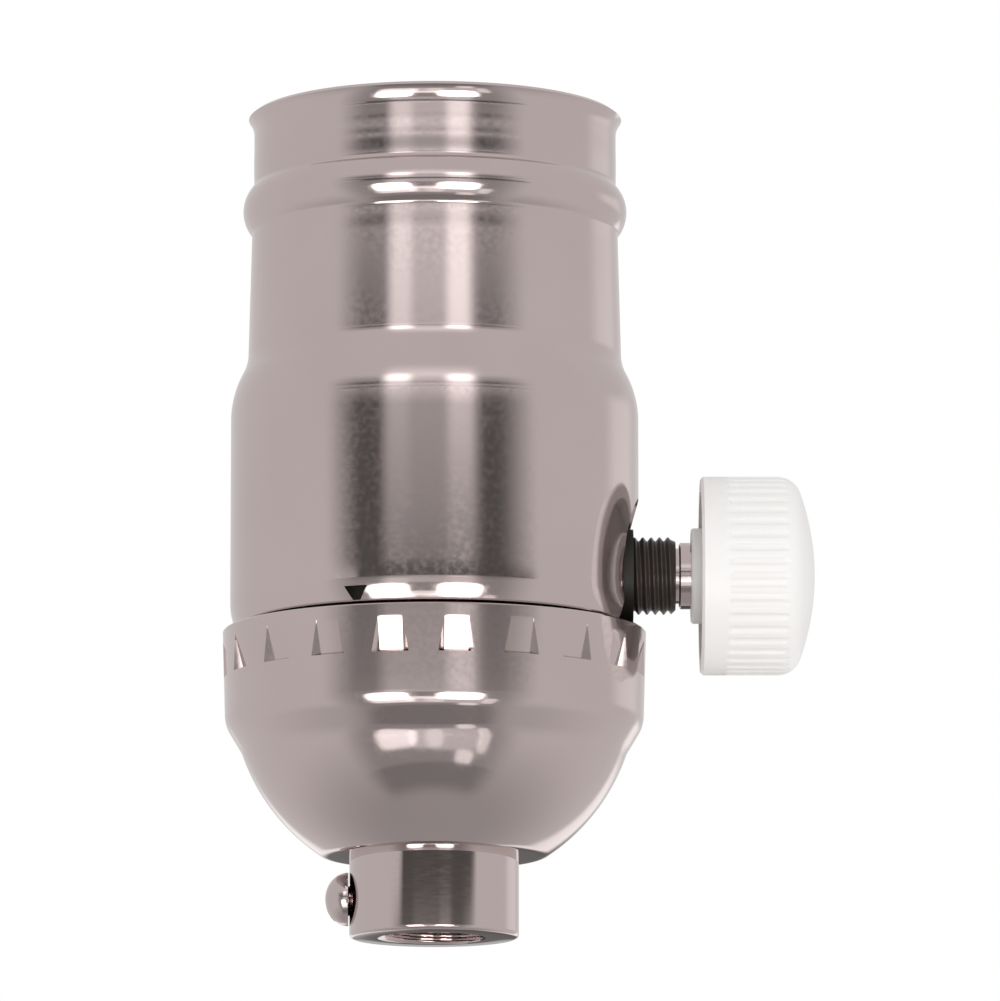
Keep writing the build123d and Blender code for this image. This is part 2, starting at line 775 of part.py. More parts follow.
def terminal_screw(x):
    """Slotted binding screw, head down, driven up into the terminal base at x."""
    head_foot = strip_foot_z - terminal_head_height
    with BuildPart() as screw:
        with BuildSketch(level(head_foot)):
            with Locations((x, 0)):
                Circle(terminal_head_radius)
        extrude(amount=terminal_head_height)
        with BuildSketch(level(strip_foot_z)):
            with Locations((x, 0)):
                Circle(terminal_screw_radius)
        extrude(amount=strip_thickness + terminal_screw_length - rest_gap)
        with Locations((x, 0, head_foot)):
            Box(3 * terminal_head_radius, slot_width, 2 * slot_depth, mode=Mode.SUBTRACT)
    return screw.part


line_terminal_screw = terminal_screw(terminal_offset)
neutral_terminal_screw = terminal_screw(-terminal_offset)

# Rotary control: bushing, resistance track, can, lugs and the turning parts
with BuildPart() as control_bushing:
    with BuildSketch(across(track_front_x, axis_z)):
        Circle(bushing_radius + bushing_flange_lip)
    extrude(amount=bushing_flange_thickness)
    with BuildSketch(across(track_front_x, axis_z)):
        Circle(bushing_radius)
    extrude(amount=bushing_end_x - track_front_x)
    outer_rim = control_bushing.edges().filter_by(GeomType.CIRCLE).sort_by(Axis.X)[-1]
    chamfer(outer_rim, bushing_chamfer)
    with BuildSketch(across(track_front_x, axis_z)):
        Circle(shaft_radius + hole_gap)
    extrude(amount=bushing_end_x - track_front_x, mode=Mode.SUBTRACT)

with BuildPart() as control_track:
    tongue_half_height = (control_radius + track_tongue) / 2
    with BuildSketch(across(track_back_x, axis_z)):
        Circle(control_radius)
        with Locations((0, -tongue_half_height)):
            Rectangle(2 * (lug_pitch + lug_width), 2 * tongue_half_height)
        Circle(shaft_radius + track_hole_gap, mode=Mode.SUBTRACT)
    extrude(amount=track_thickness)

with BuildPart() as control_can:
    with BuildSketch(across(can_back_x, axis_z)):
        Circle(control_radius)
    extrude(amount=can_depth)
    with BuildSketch(across(can_back_x + can_wall, axis_z)):
        Circle(control_radius - can_wall)
    extrude(amount=can_depth - can_wall, mode=Mode.SUBTRACT)

with BuildPart() as control_lugs:
    tongue_foot_z = axis_z - control_radius - track_tongue
    lug_foot_z = tongue_foot_z - lug_drop
    lug_rows = [lengthwise(lug_foot_z, step * lug_pitch) for step in (-1, 0, 1)]
    with BuildSketch(*lug_rows):
        with BuildLine():
            Polyline(
                (board_front_x, 0),
                (track_back_x, 0),
                (track_back_x, lug_drop + lug_lap),
                (track_back_x - lug_thickness, lug_drop + lug_lap),
                (track_back_x - lug_thickness, lug_thickness),
                (board_front_x, lug_thickness),
                close=True,
            )
        make_face()
    extrude(amount=lug_width / 2, both=True)

rotor_radius = control_radius - can_wall - rotor_room

with BuildPart() as control_rotor:
    with BuildSketch(across(rotor_back_x, axis_z)):
        Circle(rotor_radius)
        Circle(shaft_radius + hole_gap, mode=Mode.SUBTRACT)
    extrude(amount=rotor_thickness)

with BuildPart() as control_wiper:
    wiper_reach = rotor_radius - wiper_pad_radius
    with BuildSketch(across(rotor_front_x, axis_z)):
        Circle(shaft_radius + wiper_ring)
        with Locations((0, wiper_reach / 2)):
            Rectangle(2 * wiper_pad_radius, wiper_reach)
        with Locations((0, wiper_reach)):
            Circle(wiper_pad_radius)
        Circle(shaft_radius + hole_gap, mode=Mode.SUBTRACT)
    extrude(amount=wiper_thickness)


def shaft_section(x, gap):
    """D-shaped section of the shaft's outer end at x, grown by a gap."""
    radius = shaft_end_radius + gap
    with BuildSketch(across(x, axis_z)) as section:
        Circle(radius)
        with Locations((0, radius + shaft_end_radius - shaft_flat + gap)):
            Rectangle(2 * radius, 2 * radius, mode=Mode.SUBTRACT)
    return section.sketch


with BuildPart() as dimmer_shaft:
    shaft_foot_x = rotor_back_x - shaft_tail
    shaft_step_x = bushing_end_x + shaft_end_gap
    with BuildSketch(across(shaft_foot_x, axis_z)):
        Circle(shaft_radius)
    extrude(amount=shaft_step_x - shaft_foot_x)
    with BuildSketch(across(shaft_step_x, axis_z)):
        Circle(shaft_end_radius)
    extrude(amount=knob_neck_x - rest_gap - shaft_step_x)
    extrude(shaft_section(knob_neck_x - rest_gap, 0), amount=knob_bore_depth - rest_gap)

# Knob: ribbed skirt, domed face and a hollow back around the boss that takes the shaft
with BuildPart() as dimmer_knob:
    knob_neck_radius = shaft_end_radius + knob_neck_wall
    dome_curve = (knob_radius**2 + knob_dome**2) / (2 * knob_dome)
    with BuildSketch(lengthwise(axis_z)) as knob_section:
        with BuildLine():
            knob_side = Polyline(
                (knob_skirt_x + knob_dome, 0),
                (knob_neck_x, 0),
                (knob_neck_x, knob_neck_radius),
                (knob_back_x, knob_neck_radius),
                (knob_back_x, knob_radius),
                (knob_skirt_x, knob_radius),
            )
            RadiusArc(knob_side @ 1, knob_side @ 0, dome_curve)
        make_face()
        fillet(knob_section.vertices().sort_by_distance(knob_side @ 1)[0], knob_edge)
    revolve(axis=control_axis)
    with BuildSketch(across(knob_back_x, axis_z)):
        Circle(knob_radius - knob_wall)
        Circle(knob_neck_radius, mode=Mode.SUBTRACT)
    extrude(amount=knob_hollow, mode=Mode.SUBTRACT)
    extrude(shaft_section(knob_neck_x, hole_gap), amount=knob_bore_depth, mode=Mode.SUBTRACT)
    with BuildSketch(across(knob_back_x + rib_start, axis_z)):
        with PolarLocations(knob_radius + rib_groove_radius - rib_groove_depth, rib_count):
            Circle(rib_groove_radius)
    extrude(amount=knob_skirt + knob_dome, mode=Mode.SUBTRACT)

# Circuit board, standing on the terminal base between the posts and the control
board_foot_z = floor_z + rest_gap
with BuildPart() as circuit_board:
    board_half_width = sqrt(cavity_radius**2 - board_front_x**2) - board_margin
    with BuildSketch(across(board_back_x)):
        with Locations((0, (board_foot_z + roof_z - board_margin) / 2)):
            Rectangle(2 * board_half_width, roof_z - board_margin - board_foot_z)
    extrude(amount=board_thickness)

# Triac on its heat sink, behind the board
triac_front_x = board_back_x - triac_standoff
tab_front_x = triac_front_x - triac_body_thickness
tab_back_x = tab_front_x - triac_tab_thickness
sink_back_x = tab_back_x - sink_thickness
triac_foot_z = floor_z + rest_gap + (sink_height - triac_tab_height) / 2 + triac_lift
triac_hole_z = triac_foot_z + triac_tab_height - triac_hole_drop

with BuildPart() as triac:
    with BuildSketch(across(tab_front_x)):
        with Locations((-triac_offset, triac_foot_z + triac_body_height / 2)):
            Rectangle(triac_width, triac_body_height)
    extrude(amount=triac_body_thickness)
    with BuildSketch(across(tab_back_x)):
        with Locations((-triac_offset, triac_foot_z + triac_tab_height / 2)):
            Rectangle(triac_width, triac_tab_height)
        with Locations((-triac_offset, triac_hole_z)):
            Circle(triac_screw_radius + hole_gap, mode=Mode.SUBTRACT)
    extrude(amount=triac_tab_thickness)
    lead_x = (tab_front_x + triac_front_x - triac_lead_thickness) / 2
    lead_foot_z = triac_foot_z - triac_lead_drop
    lead_rows = [lengthwise(0, step * triac_lead_pitch - triac_offset) for step in (-1, 0, 1)]
    with BuildSketch(*lead_rows):
        with BuildLine():
            Polyline(
                (lead_x, triac_foot_z),
                (lead_x, lead_foot_z),
                (board_back_x, lead_foot_z),
                (board_back_x, lead_foot_z + triac_lead_thickness),
                (lead_x + triac_lead_thickness, lead_foot_z + triac_lead_thickness),
                (lead_x + triac_lead_thickness, triac_foot_z),
                close=True,
            )
        make_face()
    extrude(amount=triac_lead_width / 2, both=True)

with BuildPart() as heat_sink:
    fin_y = (sink_width - sink_thickness) / 2
    with BuildSketch(level(floor_z + rest_gap)):
        with Locations((sink_back_x + sink_thickness / 2, 0)):
            Rectangle(sink_thickness, sink_width)
        with Locations((sink_back_x - sink_fin / 2, fin_y), (sink_back_x - sink_fin / 2, -fin_y)):
            Rectangle(sink_fin, sink_thickness)
    extrude(amount=sink_height)
    with BuildSketch(across(sink_back_x)):
        with Locations((-triac_offset, triac_hole_z)):
            Circle(triac_screw_radius + hole_gap)
    extrude(amount=sink_thickness, mode=Mode.SUBTRACT)

with BuildPart() as triac_screw:
    with BuildSketch(across(sink_back_x - triac_nut_height)):
        with Locations((-triac_offset, triac_hole_z)):
            Circle(triac_screw_radius)
    extrude(amount=tab_front_x - sink_back_x + triac_nut_height)
    with BuildSketch(across(tab_front_x)):
        with Locations((-triac_offset, triac_hole_z)):
            Circle(triac_head_radius)
    extrude(amount=triac_head_height)
    with Locations((tab_front_x + triac_head_height, -triac_offset, triac_hole_z)):
        Box(2 * slot_depth, slot_width, 3 * triac_head_radius, mode=Mode.SUBTRACT)

with BuildPart() as triac_nut:
    with BuildSketch(across(sink_back_x)):
        with Locations((-triac_offset, triac_hole_z)):
            RegularPolygon(triac_nut_flats / 2, 6, major_radius=False)
            Circle(triac_screw_radius + hole_gap, mode=Mode.SUBTRACT)
    extrude(amount=-triac_nut_height)

# Small parts of the phase-control circuit
with BuildPart() as timing_capacitor:
    capacitor_front_x = board_back_x - 2 * rest_gap
    capacitor_foot_z = floor_z + capacitor_lift
    with BuildSketch(across(capacitor_front_x)):
        with Locations((capacitor_offset, capacitor_foot_z + capacitor_height / 2)):
            RectangleRounded(capacitor_width, capacitor_height, capacitor_edge)
    extrude(amount=-capacitor_depth)
    pin_z = capacitor_foot_z + capacitor_pin_lift
    with BuildSketch(across(capacitor_front_x)):
        with Locations(
            (capacitor_offset - capacitor_pin_pitch / 2, pin_z),
            (capacitor_offset + capacitor_pin_pitch / 2, pin_z),
        ):
            Circle(lead_radius)
    extrude(amount=board_back_x - capacitor_front_x)


def axial_part(radius, length, lift):
    """Wire-ended round part lying along Y behind the board, its leads bent in to it."""
    axis_x = board_back_x - radius - lead_bend
    height = floor_z + lift
    lead_y = length / 2 + lead_bend
    with BuildPart() as body:
        with BuildSketch(lengthwise(height, capacitor_offset)):
            with Locations((axis_x, 0)):
                Circle(radius)
        extrude(amount=length / 2, both=True)
        with BuildSketch(lengthwise(height, capacitor_offset)):
            with Locations((axis_x, 0)):
                Circle(lead_radius)
        extrude(amount=lead_y + lead_radius, both=True)
        with BuildSketch(across(axis_x, height)):
            with Locations((capacitor_offset + lead_y, 0), (capacitor_offset - lead_y, 0)):
                Circle(lead_radius)
        extrude(amount=board_back_x - axis_x)
    return body.part


timing_resistor = axial_part(resistor_radius, resistor_length, resistor_lift)
trigger_diac = axial_part(diac_radius, diac_length, diac_lift)

with BuildPart() as filter_choke:
    choke_x = sink_back_x - choke_room - choke_wire_radius
    choke_z = floor_z + rest_gap + choke_radius + choke_wire_radius
    with Locations(Location((choke_x, 0, choke_z), (0, 90, 0))):
        Torus(choke_radius, choke_wire_radius)

pieces = {
    "outer_shell": outer_shell.part,
    "socket_cap": socket_cap.part,
    "cap_hub": cap_hub.part,
    "set_screw": set_screw.part,
    "dimmer_knob": dimmer_knob.part,
    "control_bushing": control_bushing.part,
    "dimmer_shaft": dimmer_shaft.part,
    "insulating_sleeve": insulating_sleeve.part,
    "screw_shell": screw_shell.part,
    "shell_rivets": shell_rivets.part,
    "center_contact": center_contact.part,
    "contact_rivet": contact_rivet.part,
    "contact_lug": contact_lug.part,
    "contact_base": contact_base.part,
    "dimmer_housing": dimmer_housing.part,
    "terminal_base": terminal_base.part,
    "assembly_screws": assembly_screws.part,
    "line_terminal": line_terminal.part,
    "line_terminal_screw": line_terminal_screw,
    "neutral_terminal": neutral_terminal.part,
    "neutral_terminal_screw": neutral_terminal_screw,
    "control_can": control_can.part,
    "control_track": control_track.part,
    "control_lugs": control_lugs.part,
    "control_rotor": control_rotor.part,
    "control_wiper": control_wiper.part,
    "circuit_board": circuit_board.part,
    "triac": triac.part,
    "heat_sink": heat_sink.part,
    "triac_screw": triac_screw.part,
    "triac_nut": triac_nut.part,
    "timing_capacitor": timing_capacitor.part,
    "timing_resistor": timing_resistor,
    "trigger_diac": trigger_diac,
    "filter_choke": filter_choke.part,
}
os.makedirs("parts", exist_ok=True)
for name, piece in pieces.items():
    piece.label = name
    export_step(piece, f"parts/{name}.step")
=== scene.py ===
"""Looks of a lamp socket with a turn-knob dimmer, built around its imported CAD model."""

import json
from math import asin, atan, atan2, cos, degrees, hypot, pi, radians, sin, sqrt, tan

import bmesh
import bpy
from mathutils import Matrix, Vector


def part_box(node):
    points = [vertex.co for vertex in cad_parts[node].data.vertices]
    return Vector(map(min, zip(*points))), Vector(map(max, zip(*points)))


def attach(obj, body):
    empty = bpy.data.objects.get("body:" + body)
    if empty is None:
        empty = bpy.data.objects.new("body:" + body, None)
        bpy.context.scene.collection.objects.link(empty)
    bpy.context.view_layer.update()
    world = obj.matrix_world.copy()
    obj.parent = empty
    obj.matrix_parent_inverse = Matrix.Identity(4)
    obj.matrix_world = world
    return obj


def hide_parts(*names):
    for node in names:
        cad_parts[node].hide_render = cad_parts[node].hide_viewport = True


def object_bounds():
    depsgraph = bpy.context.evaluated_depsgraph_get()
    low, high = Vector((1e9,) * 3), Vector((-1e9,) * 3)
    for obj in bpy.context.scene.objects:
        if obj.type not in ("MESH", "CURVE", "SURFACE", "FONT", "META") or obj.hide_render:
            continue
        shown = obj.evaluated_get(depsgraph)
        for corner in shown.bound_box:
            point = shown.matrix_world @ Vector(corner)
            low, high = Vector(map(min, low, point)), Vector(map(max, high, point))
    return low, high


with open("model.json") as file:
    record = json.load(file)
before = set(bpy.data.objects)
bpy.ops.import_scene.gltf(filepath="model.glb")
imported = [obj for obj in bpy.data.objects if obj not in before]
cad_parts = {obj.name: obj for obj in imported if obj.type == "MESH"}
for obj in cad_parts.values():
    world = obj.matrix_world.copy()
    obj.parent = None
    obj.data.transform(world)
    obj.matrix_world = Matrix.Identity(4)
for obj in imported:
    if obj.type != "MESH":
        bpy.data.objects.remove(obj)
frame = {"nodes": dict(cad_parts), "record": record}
cad_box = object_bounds()

# Sizes in millimetres: the CAD model's own, but for the roll mark and the bends of the shoulder and tuck
MM = 0.001
seat_gap = 0.25
hole_gap = 0.05
axis_core = 0.02  # radius of the thin core that a turned piece leaves open on its axis
cut_reach = 9.0  # how far a cutting shape goes past what it cuts
floor_gap = 0.05  # between the object's foot and the floor

lamp_minor_radius = 12.45
lamp_thread_depth = 0.8
lamp_pitch = 3.629
lamp_thread_fade = 0.5
screw_shell_wall = 0.35
mouth_height = 2.4
floor_flange = 4.8
sleeve_wall = 0.7
sleeve_neck_rise = 2.0
sleeve_shoulder_height = 3.0

shell_wall = 0.5
lip_curve = 2.5
lip_turn = 37.0
bead_drop = 8.8
bead_height = 0.97
bead_crown = 3.0
bead_fillet = 0.6
roll_mark_rise = 4.25
roll_mark_width = 3.6
roll_mark_height = 0.022
neck_radius = 16.4
neck_growth = 0.17
neck_taper = 0.28
shoulder_rise = 2.5
shoulder_height = 6.1
shoulder_step = 1.55
shoulder_hollow = 0.32
tuck_show = 2.6
tuck_height = 4.5
tuck_depth = 0.9
tuck_bend = 0.5
hook_height = 1.4
hook_length = 0.9
slot_gap = 2.8
slot_overrun = 1.0
boss_radius = 4.2
notch_angle = -21.9
notch_rise = 0.5
notch_height = 1.25
notch_width = 2.2
notch_foot = 0.7

cap_wall = 0.45
cap_gap = 0.2
collar_draft = 0.25
collar_fillet = 3.0
bevel_height = 2.5
bevel_step = 1.5
bowl_height = 9.4
bowl_curve = 18.0
bowl_foot = 3.7
bowl_fillet = 1.6
catch_count = 20
catch_width = 2.2
catch_flare = 40.0
catch_height = 3.15
catch_drop = 1.15
catch_angle = 6.5
rim_round = 0.12

pipe_bore_radius = 4.6
pipe_thread_depth = 0.45
pipe_thread_pitch = 0.94
pipe_mouth = 0.6
hub_height = 7.3
hub_chamfer = 0.35
hub_chamfer_bulge = 0.3  # share of the chamfer by which it is rounded
spigot_wall = 1.6
clinch_lip = 1.0
clinch_height = 0.9
set_screw_radius = 1.5
set_screw_pitch = 0.7
set_screw_thread_depth = 0.35
set_screw_point = 0.4
set_screw_hole_start = 0.5
set_screw_height = 3.5
head_gap = 0.1
slot_width = 0.7
slot_depth = 0.9

bushing_radius = 3.5
bushing_thread_depth = 0.36
bushing_thread_pitch = 0.75
bushing_plain_length = 1.0
bushing_fade_in = 0.8
bushing_fade_out = 0.5
bushing_flange_lip = 1.7
bushing_flange_thickness = 1.2
bushing_chamfer = 0.4

shaft_radius = 2.5
shaft_chamfer = 0.2
shaft_end_radius = 3.0
shaft_end_gap = 0.3
shaft_end_chamfer = 0.15
shaft_flat = 1.2
shaft_flat_gap = 0.1

knob_neck_length = 0.85
knob_neck_radius = 4.3
knob_neck_chamfer = 0.15
knob_back_chamfer = 0.25
knob_dome = 1.9
knob_edge = 2.2
knob_wall = 1.4
knob_hollow = 5.0
knob_bore_depth = 7.5
rib_count = 44
rib_groove_radius = 0.42
rib_groove_depth = 0.24
rib_start = 2.4
rib_runout = 0.25
rib_zone = 1.2  # depth below the skirt's surface where the ribs end

# Fineness: segments round each turned piece, and heights of its rows of points, in millimetres
shell_segments = 240
sleeve_segments = 160
screw_shell_segments = 144
hub_segments = 144
hole_segments = 48
set_screw_segments = 72
bushing_segments = 96
shaft_segments = 96
rib_segments = 14
roll_mark_row = 0.15
wall_row = 2.0
body_row = 1.5
bevel_row = 0.5
hub_row = 1.0
hub_edge_row = 0.1
thread_row = 0.1
bushing_thread_row = 0.06
knob_row = 0.2
lamp_thread_rows = 110
head_rows = 16
catch_rows = 12
rows_below_catch = (1.8, 0.6, 0.15, 0.05)
row_above_catch = 0.12
catch_columns = (4, 6, 4, 8)  # on a catch's first side, its floor, its other side and the wall beyond
same_size = 1e-6
same_place = 1e-7  # in metres


def span(node):
    """Lowest and highest corner of a CAD node, in millimetres."""
    low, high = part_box(node)
    return low / MM, high / MM


# Places read from the frame, in millimetres
shell_low, shell_high = span("outer_shell")
cap_high = span("socket_cap")[1]
screw_low, screw_high = span("screw_shell")
sleeve_high = span("insulating_sleeve")[1]
bushing_low, bushing_high = span("control_bushing")
knob_low, knob_high = span("dimmer_knob")
shaft_low, shaft_high = span("dimmer_shaft")
hub_high = span("cap_hub")[1]
set_screw_low, set_screw_high = span("set_screw")

rim_z = shell_high.z
floor_z = shell_low.z
cap_rim_z = cap_high.z
collar_radius = cap_high.y
body_radius = collar_radius - cap_gap - cap_wall
axis_z = (knob_low.z + knob_high.z) / 2
lamp_floor_z = screw_low.z
thread_foot_z = lamp_floor_z + screw_shell_wall
mouth_z = screw_high.z - mouth_height

sleeve_neck_radius = neck_radius - shell_wall - seat_gap - sleeve_wall
lower_neck_radius = neck_radius + neck_growth
shoulder_radius = lower_neck_radius + neck_taper
bead_z = rim_z - bead_drop
shoulder_top_z = lamp_floor_z + shoulder_rise
tuck_top_z = cap_rim_z + tuck_show
tuck_radius = body_radius - tuck_depth
collar_foot_radius = collar_radius - collar_draft
bowl_top_z = hub_height + bowl_height
collar_foot_z = bowl_top_z + bevel_height
spigot_radius = pipe_bore_radius + spigot_wall
catch_top_z = cap_rim_z - catch_drop
catch_foot_z = catch_top_z - catch_height


# Outlines are lists of (radius, height) points
def turn_arc(points, heading, radius, turn, steps=10):
    """Adds a tangent arc to an outline; a positive turn is to the left. Returns the new heading."""
    side = 1 if turn > 0 else -1
    x, y = points[-1]
    center_x = x - side * radius * sin(heading)
    center_y = y + side * radius * cos(heading)
    for step in range(1, steps + 1):
        angle = heading + turn * step / steps
        points.append((center_x + side * radius * sin(angle), center_y - side * radius * cos(angle)))
    return heading + turn


def joggle(points, drop, step, first_share=0.5, inset=0.0):
    """Adds two tangent arcs that carry a wall, running down, sideways by step over drop."""
    turn = 2 * atan(abs(step) / drop)
    total = drop / sin(turn)
    side = 1 if step > 0 else -1
    heading = turn_arc(points, -pi / 2, first_share * total + side * inset, side * turn)
    turn_arc(points, heading, (1 - first_share) * total - side * inset, -side * turn)


def round_corner(points, index, radius, steps=6):
    """Outline with the corner at an index rounded by a curve tangent to both its sides."""
    before, corner, after = (Vector(points[index + i]) for i in (-1, 0, 1))
    back, ahead = (before - corner).normalized(), (after - corner).normalized()
    reach = radius / tan(back.angle(ahead) / 2)
    start, end = corner + back * reach, corner + ahead * reach
    curve = []
    for step in range(steps + 1):
        share = step / steps
        curve.append(tuple(start.lerp(corner, share).lerp(corner.lerp(end, share), share)))
    return points[:index] + curve + points[index + 1:]


def new_mesh(name, verts, faces, unit=1.0):
    """Mesh from points and faces, with the points' unit in metres."""
    mesh = bpy.data.meshes.new(name)
    mesh.from_pydata([Vector(v) * unit for v in verts], [], faces)
    return mesh


def add_object(name, data):
    """Object in the scene that shows a mesh, a lamp or a camera."""
    thing = bpy.data.objects.new(name, data)
    bpy.context.scene.collection.objects.link(thing)
    return thing


def finish_mesh(piece, sharp):
    """Outward normals and smooth shading, with edges above an angle kept sharp."""
    work = bmesh.new()
    work.from_mesh(piece.data)
    bmesh.ops.remove_doubles(work, verts=work.verts, dist=same_place)
    bmesh.ops.recalc_face_normals(work, faces=work.faces)
    work.to_mesh(piece.data)
    work.free()
    piece.data.shade_smooth()
    piece.data.set_sharp_from_angle(angle=radians(sharp))


def new_piece(name, verts, faces, material, body, node=None, slot=None, sharp=32):
    """Mesh object from points in millimetres, smooth up to an angle, riding on a body."""
    mesh = new_mesh(name, verts, faces, MM)
    mesh.validate()
    piece = add_object(name, mesh)
    finish_mesh(piece, sharp)
    mesh.materials.append(material)
    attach(piece, body)
    if node:
        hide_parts(node)
    return piece


def turned(outline, segments, place=Matrix.Identity(4), shift=None, closed=True):
    """Points and faces of an outline turned about Z, then placed. shift changes a radius by its angle."""
    verts, faces = [], []
    for column in range(segments):
        angle = 2 * pi * column / segments
        for radius, height in outline:
            if shift:
                radius = shift(radius, height, angle)
            verts.append(place @ Vector((radius * cos(angle), radius * sin(angle), height)))
    rows = len(outline)
    for column in range(segments):
        here, there = column * rows, (column + 1) % segments * rows
        for row in range(rows if closed else rows - 1):
            up = (row + 1) % rows
            faces.append((here + row, there + row, there + up, here + up))
    return verts, faces


def rows_between(start, end, step):
    """Outline points from start to end, end included, about a step apart."""
    count = max(1, round(hypot(end[0] - start[0], end[1] - start[1]) / step))
    return [tuple(Vector(start).lerp(Vector(end), i / count)) for i in range(1, count + 1)]


def thread_wave(height, angle, pitch):
    """Height of a rounded vee thread, from 0 in its root to 1 on its crest, at a height and angle."""
    phase = (height / pitch - angle / (2 * pi)) % 1.0
    tooth = 1 - abs(2 * phase - 1)
    return tooth * tooth * (3 - 2 * tooth)


def cut_away(piece, verts, faces, sharp=32):
    """Cuts a closed shape, given in millimetres, out of a piece."""
    cutter = add_object("cutter", new_mesh("cutter", verts, faces, MM))
    finish_mesh(cutter, sharp)
    cut = piece.modifiers.new("cut", "BOOLEAN")
    cut.operation = "DIFFERENCE"
    cut.solver = "EXACT"
    cut.object = cutter
    bpy.context.view_layer.update()
    result = piece.evaluated_get(bpy.context.evaluated_depsgraph_get())
    shaped = bpy.data.meshes.new_from_object(result)
    piece.modifiers.remove(cut)
    materials = list(piece.data.materials)
    piece.data = shaped
    shaped.materials.clear()
    for material in materials:
        shaped.materials.append(material)
    bpy.data.objects.remove(cutter)
    finish_mesh(piece, sharp)


def prism(section, near, far):
    """Closed prism of a section, a list of 3D points, pushed between two offsets."""
    count = len(section)
    verts = [Vector(p) + Vector(near) for p in section] + [Vector(p) + Vector(far) for p in section]
    sides = [(i, (i + 1) % count, (i + 1) % count + count, i + count) for i in range(count)]
    return verts, [tuple(range(count))[::-1], tuple(range(count, 2 * count)), *sides]


# Materials
def new_material(name, color, metallic, roughness):
    """Principled material with its constants on the shader's own sockets."""
    material = bpy.data.materials.new(name)
    material.use_nodes = True
    shader = material.node_tree.nodes["Principled BSDF"]
    shader.inputs["Base Color"].default_value = (*color, 1)
    shader.inputs["Metallic"].default_value = metallic
    shader.inputs["Roughness"].default_value = roughness
    return material


def add_noise(material, scale, detail=4.0, stretch=(1, 1, 1)):
    """Noise texture in the piece's own space, in waves per metre, and its output."""
    tree = material.node_tree
    place = tree.nodes.new("ShaderNodeTexCoord")
    mapping = tree.nodes.new("ShaderNodeMapping")
    mapping.inputs["Scale"].default_value = stretch
    noise = tree.nodes.new("ShaderNodeTexNoise")
    noise.inputs["Scale"].default_value = scale
    noise.inputs["Detail"].default_value = detail
    tree.links.new(place.outputs["Object"], mapping.inputs["Vector"])
    tree.links.new(mapping.outputs["Vector"], noise.inputs["Vector"])
    return noise.outputs["Fac"]


def vary(material, socket, noise, low, high, start=0.3, end=0.7):
    """Lets a noise carry a shader's value or colour between low and high."""
    tree = material.node_tree
    ramp = tree.nodes.new("ShaderNodeValToRGB")
    for stop, place, value in zip(ramp.color_ramp.elements, (start, end), (low, high)):
        stop.position = place
        stop.color = (*value, 1) if isinstance(value, tuple) else (value, value, value, 1)
    tree.links.new(noise, ramp.inputs["Fac"])
    tree.links.new(ramp.outputs["Color"], tree.nodes["Principled BSDF"].inputs[socket])


def roughen(material, noise, strength, depth):
    """Bump of a noise, its depth in millimetres."""
    tree = material.node_tree
    bump = tree.nodes.new("ShaderNodeBump")
    bump.inputs["Strength"].default_value = strength
    bump.inputs["Distance"].default_value = depth * MM
    tree.links.new(noise, bump.inputs["Height"])
    tree.links.new(bump.outputs["Normal"], tree.nodes["Principled BSDF"].inputs["Normal"])


nickel_color = (0.62, 0.53, 0.52)
nickel = new_material("nickel_plate", nickel_color, metallic=1.0, roughness=0.1)
vary(nickel, "Roughness", add_noise(nickel, 2000, detail=3), 0.075, 0.125, start=0.4)
vary(nickel, "Base Color", add_noise(nickel, 60, detail=3), (0.605, 0.515, 0.505), (0.635, 0.545, 0.535))
roughen(nickel, add_noise(nickel, 2000, detail=2), strength=0.03, depth=0.012)

turned_nickel = new_material("turned_nickel", nickel_color, metallic=1.0, roughness=0.05)
vary(turned_nickel, "Roughness", add_noise(turned_nickel, 900, detail=3, stretch=(1, 1, 5)), 0.035, 0.06)

white_plastic = new_material("white_plastic", (0.86, 0.845, 0.83), metallic=0.0, roughness=0.35)
vary(white_plastic, "Roughness", add_noise(white_plastic, 700), 0.3, 0.42)
vary(white_plastic, "Base Color", add_noise(white_plastic, 90), (0.85, 0.832, 0.815), (0.875, 0.862, 0.85))

black_plastic = new_material("black_plastic", (0.04, 0.03, 0.026), metallic=0.0, roughness=0.35)
vary(black_plastic, "Roughness", add_noise(black_plastic, 800), 0.28, 0.45)

fibre = new_material("fibre", (0.035, 0.03, 0.027), metallic=0.0, roughness=0.8)
fibre_grain = add_noise(fibre, 500, detail=8, stretch=(1, 1, 0.2))
vary(fibre, "Base Color", fibre_grain, (0.022, 0.019, 0.017), (0.05, 0.044, 0.039))
roughen(fibre, add_noise(fibre, 900, detail=6), strength=0.4, depth=0.05)

aluminium = new_material("rolled_aluminium", (0.8, 0.785, 0.76), metallic=1.0, roughness=0.25)
vary(aluminium, "Roughness", add_noise(aluminium, 600, detail=5, stretch=(1, 1, 6)), 0.18, 0.34)

brass = new_material("brass", (0.72, 0.52, 0.24), metallic=1.0, roughness=0.25)
vary(brass, "Roughness", add_noise(brass, 700), 0.18, 0.36)
vary(brass, "Base Color", add_noise(brass, 120), (0.66, 0.46, 0.2), (0.75, 0.56, 0.28))

zinc = new_material("zinc_steel", (0.56, 0.56, 0.57), metallic=1.0, roughness=0.3)
vary(zinc, "Roughness", add_noise(zinc, 800), 0.22, 0.4)

phenolic = new_material("black_phenolic", (0.014, 0.011, 0.01), metallic=0.0, roughness=0.5)
vary(phenolic, "Base Color", add_noise(phenolic, 400, detail=6), (0.01, 0.008, 0.007), (0.022, 0.017, 0.015))

laminate = new_material("board_laminate", (0.3, 0.17, 0.06), metallic=0.0, roughness=0.5)
board_grain = add_noise(laminate, 250, detail=6, stretch=(1, 4, 1))
vary(laminate, "Base Color", board_grain, (0.25, 0.135, 0.045), (0.34, 0.2, 0.08))

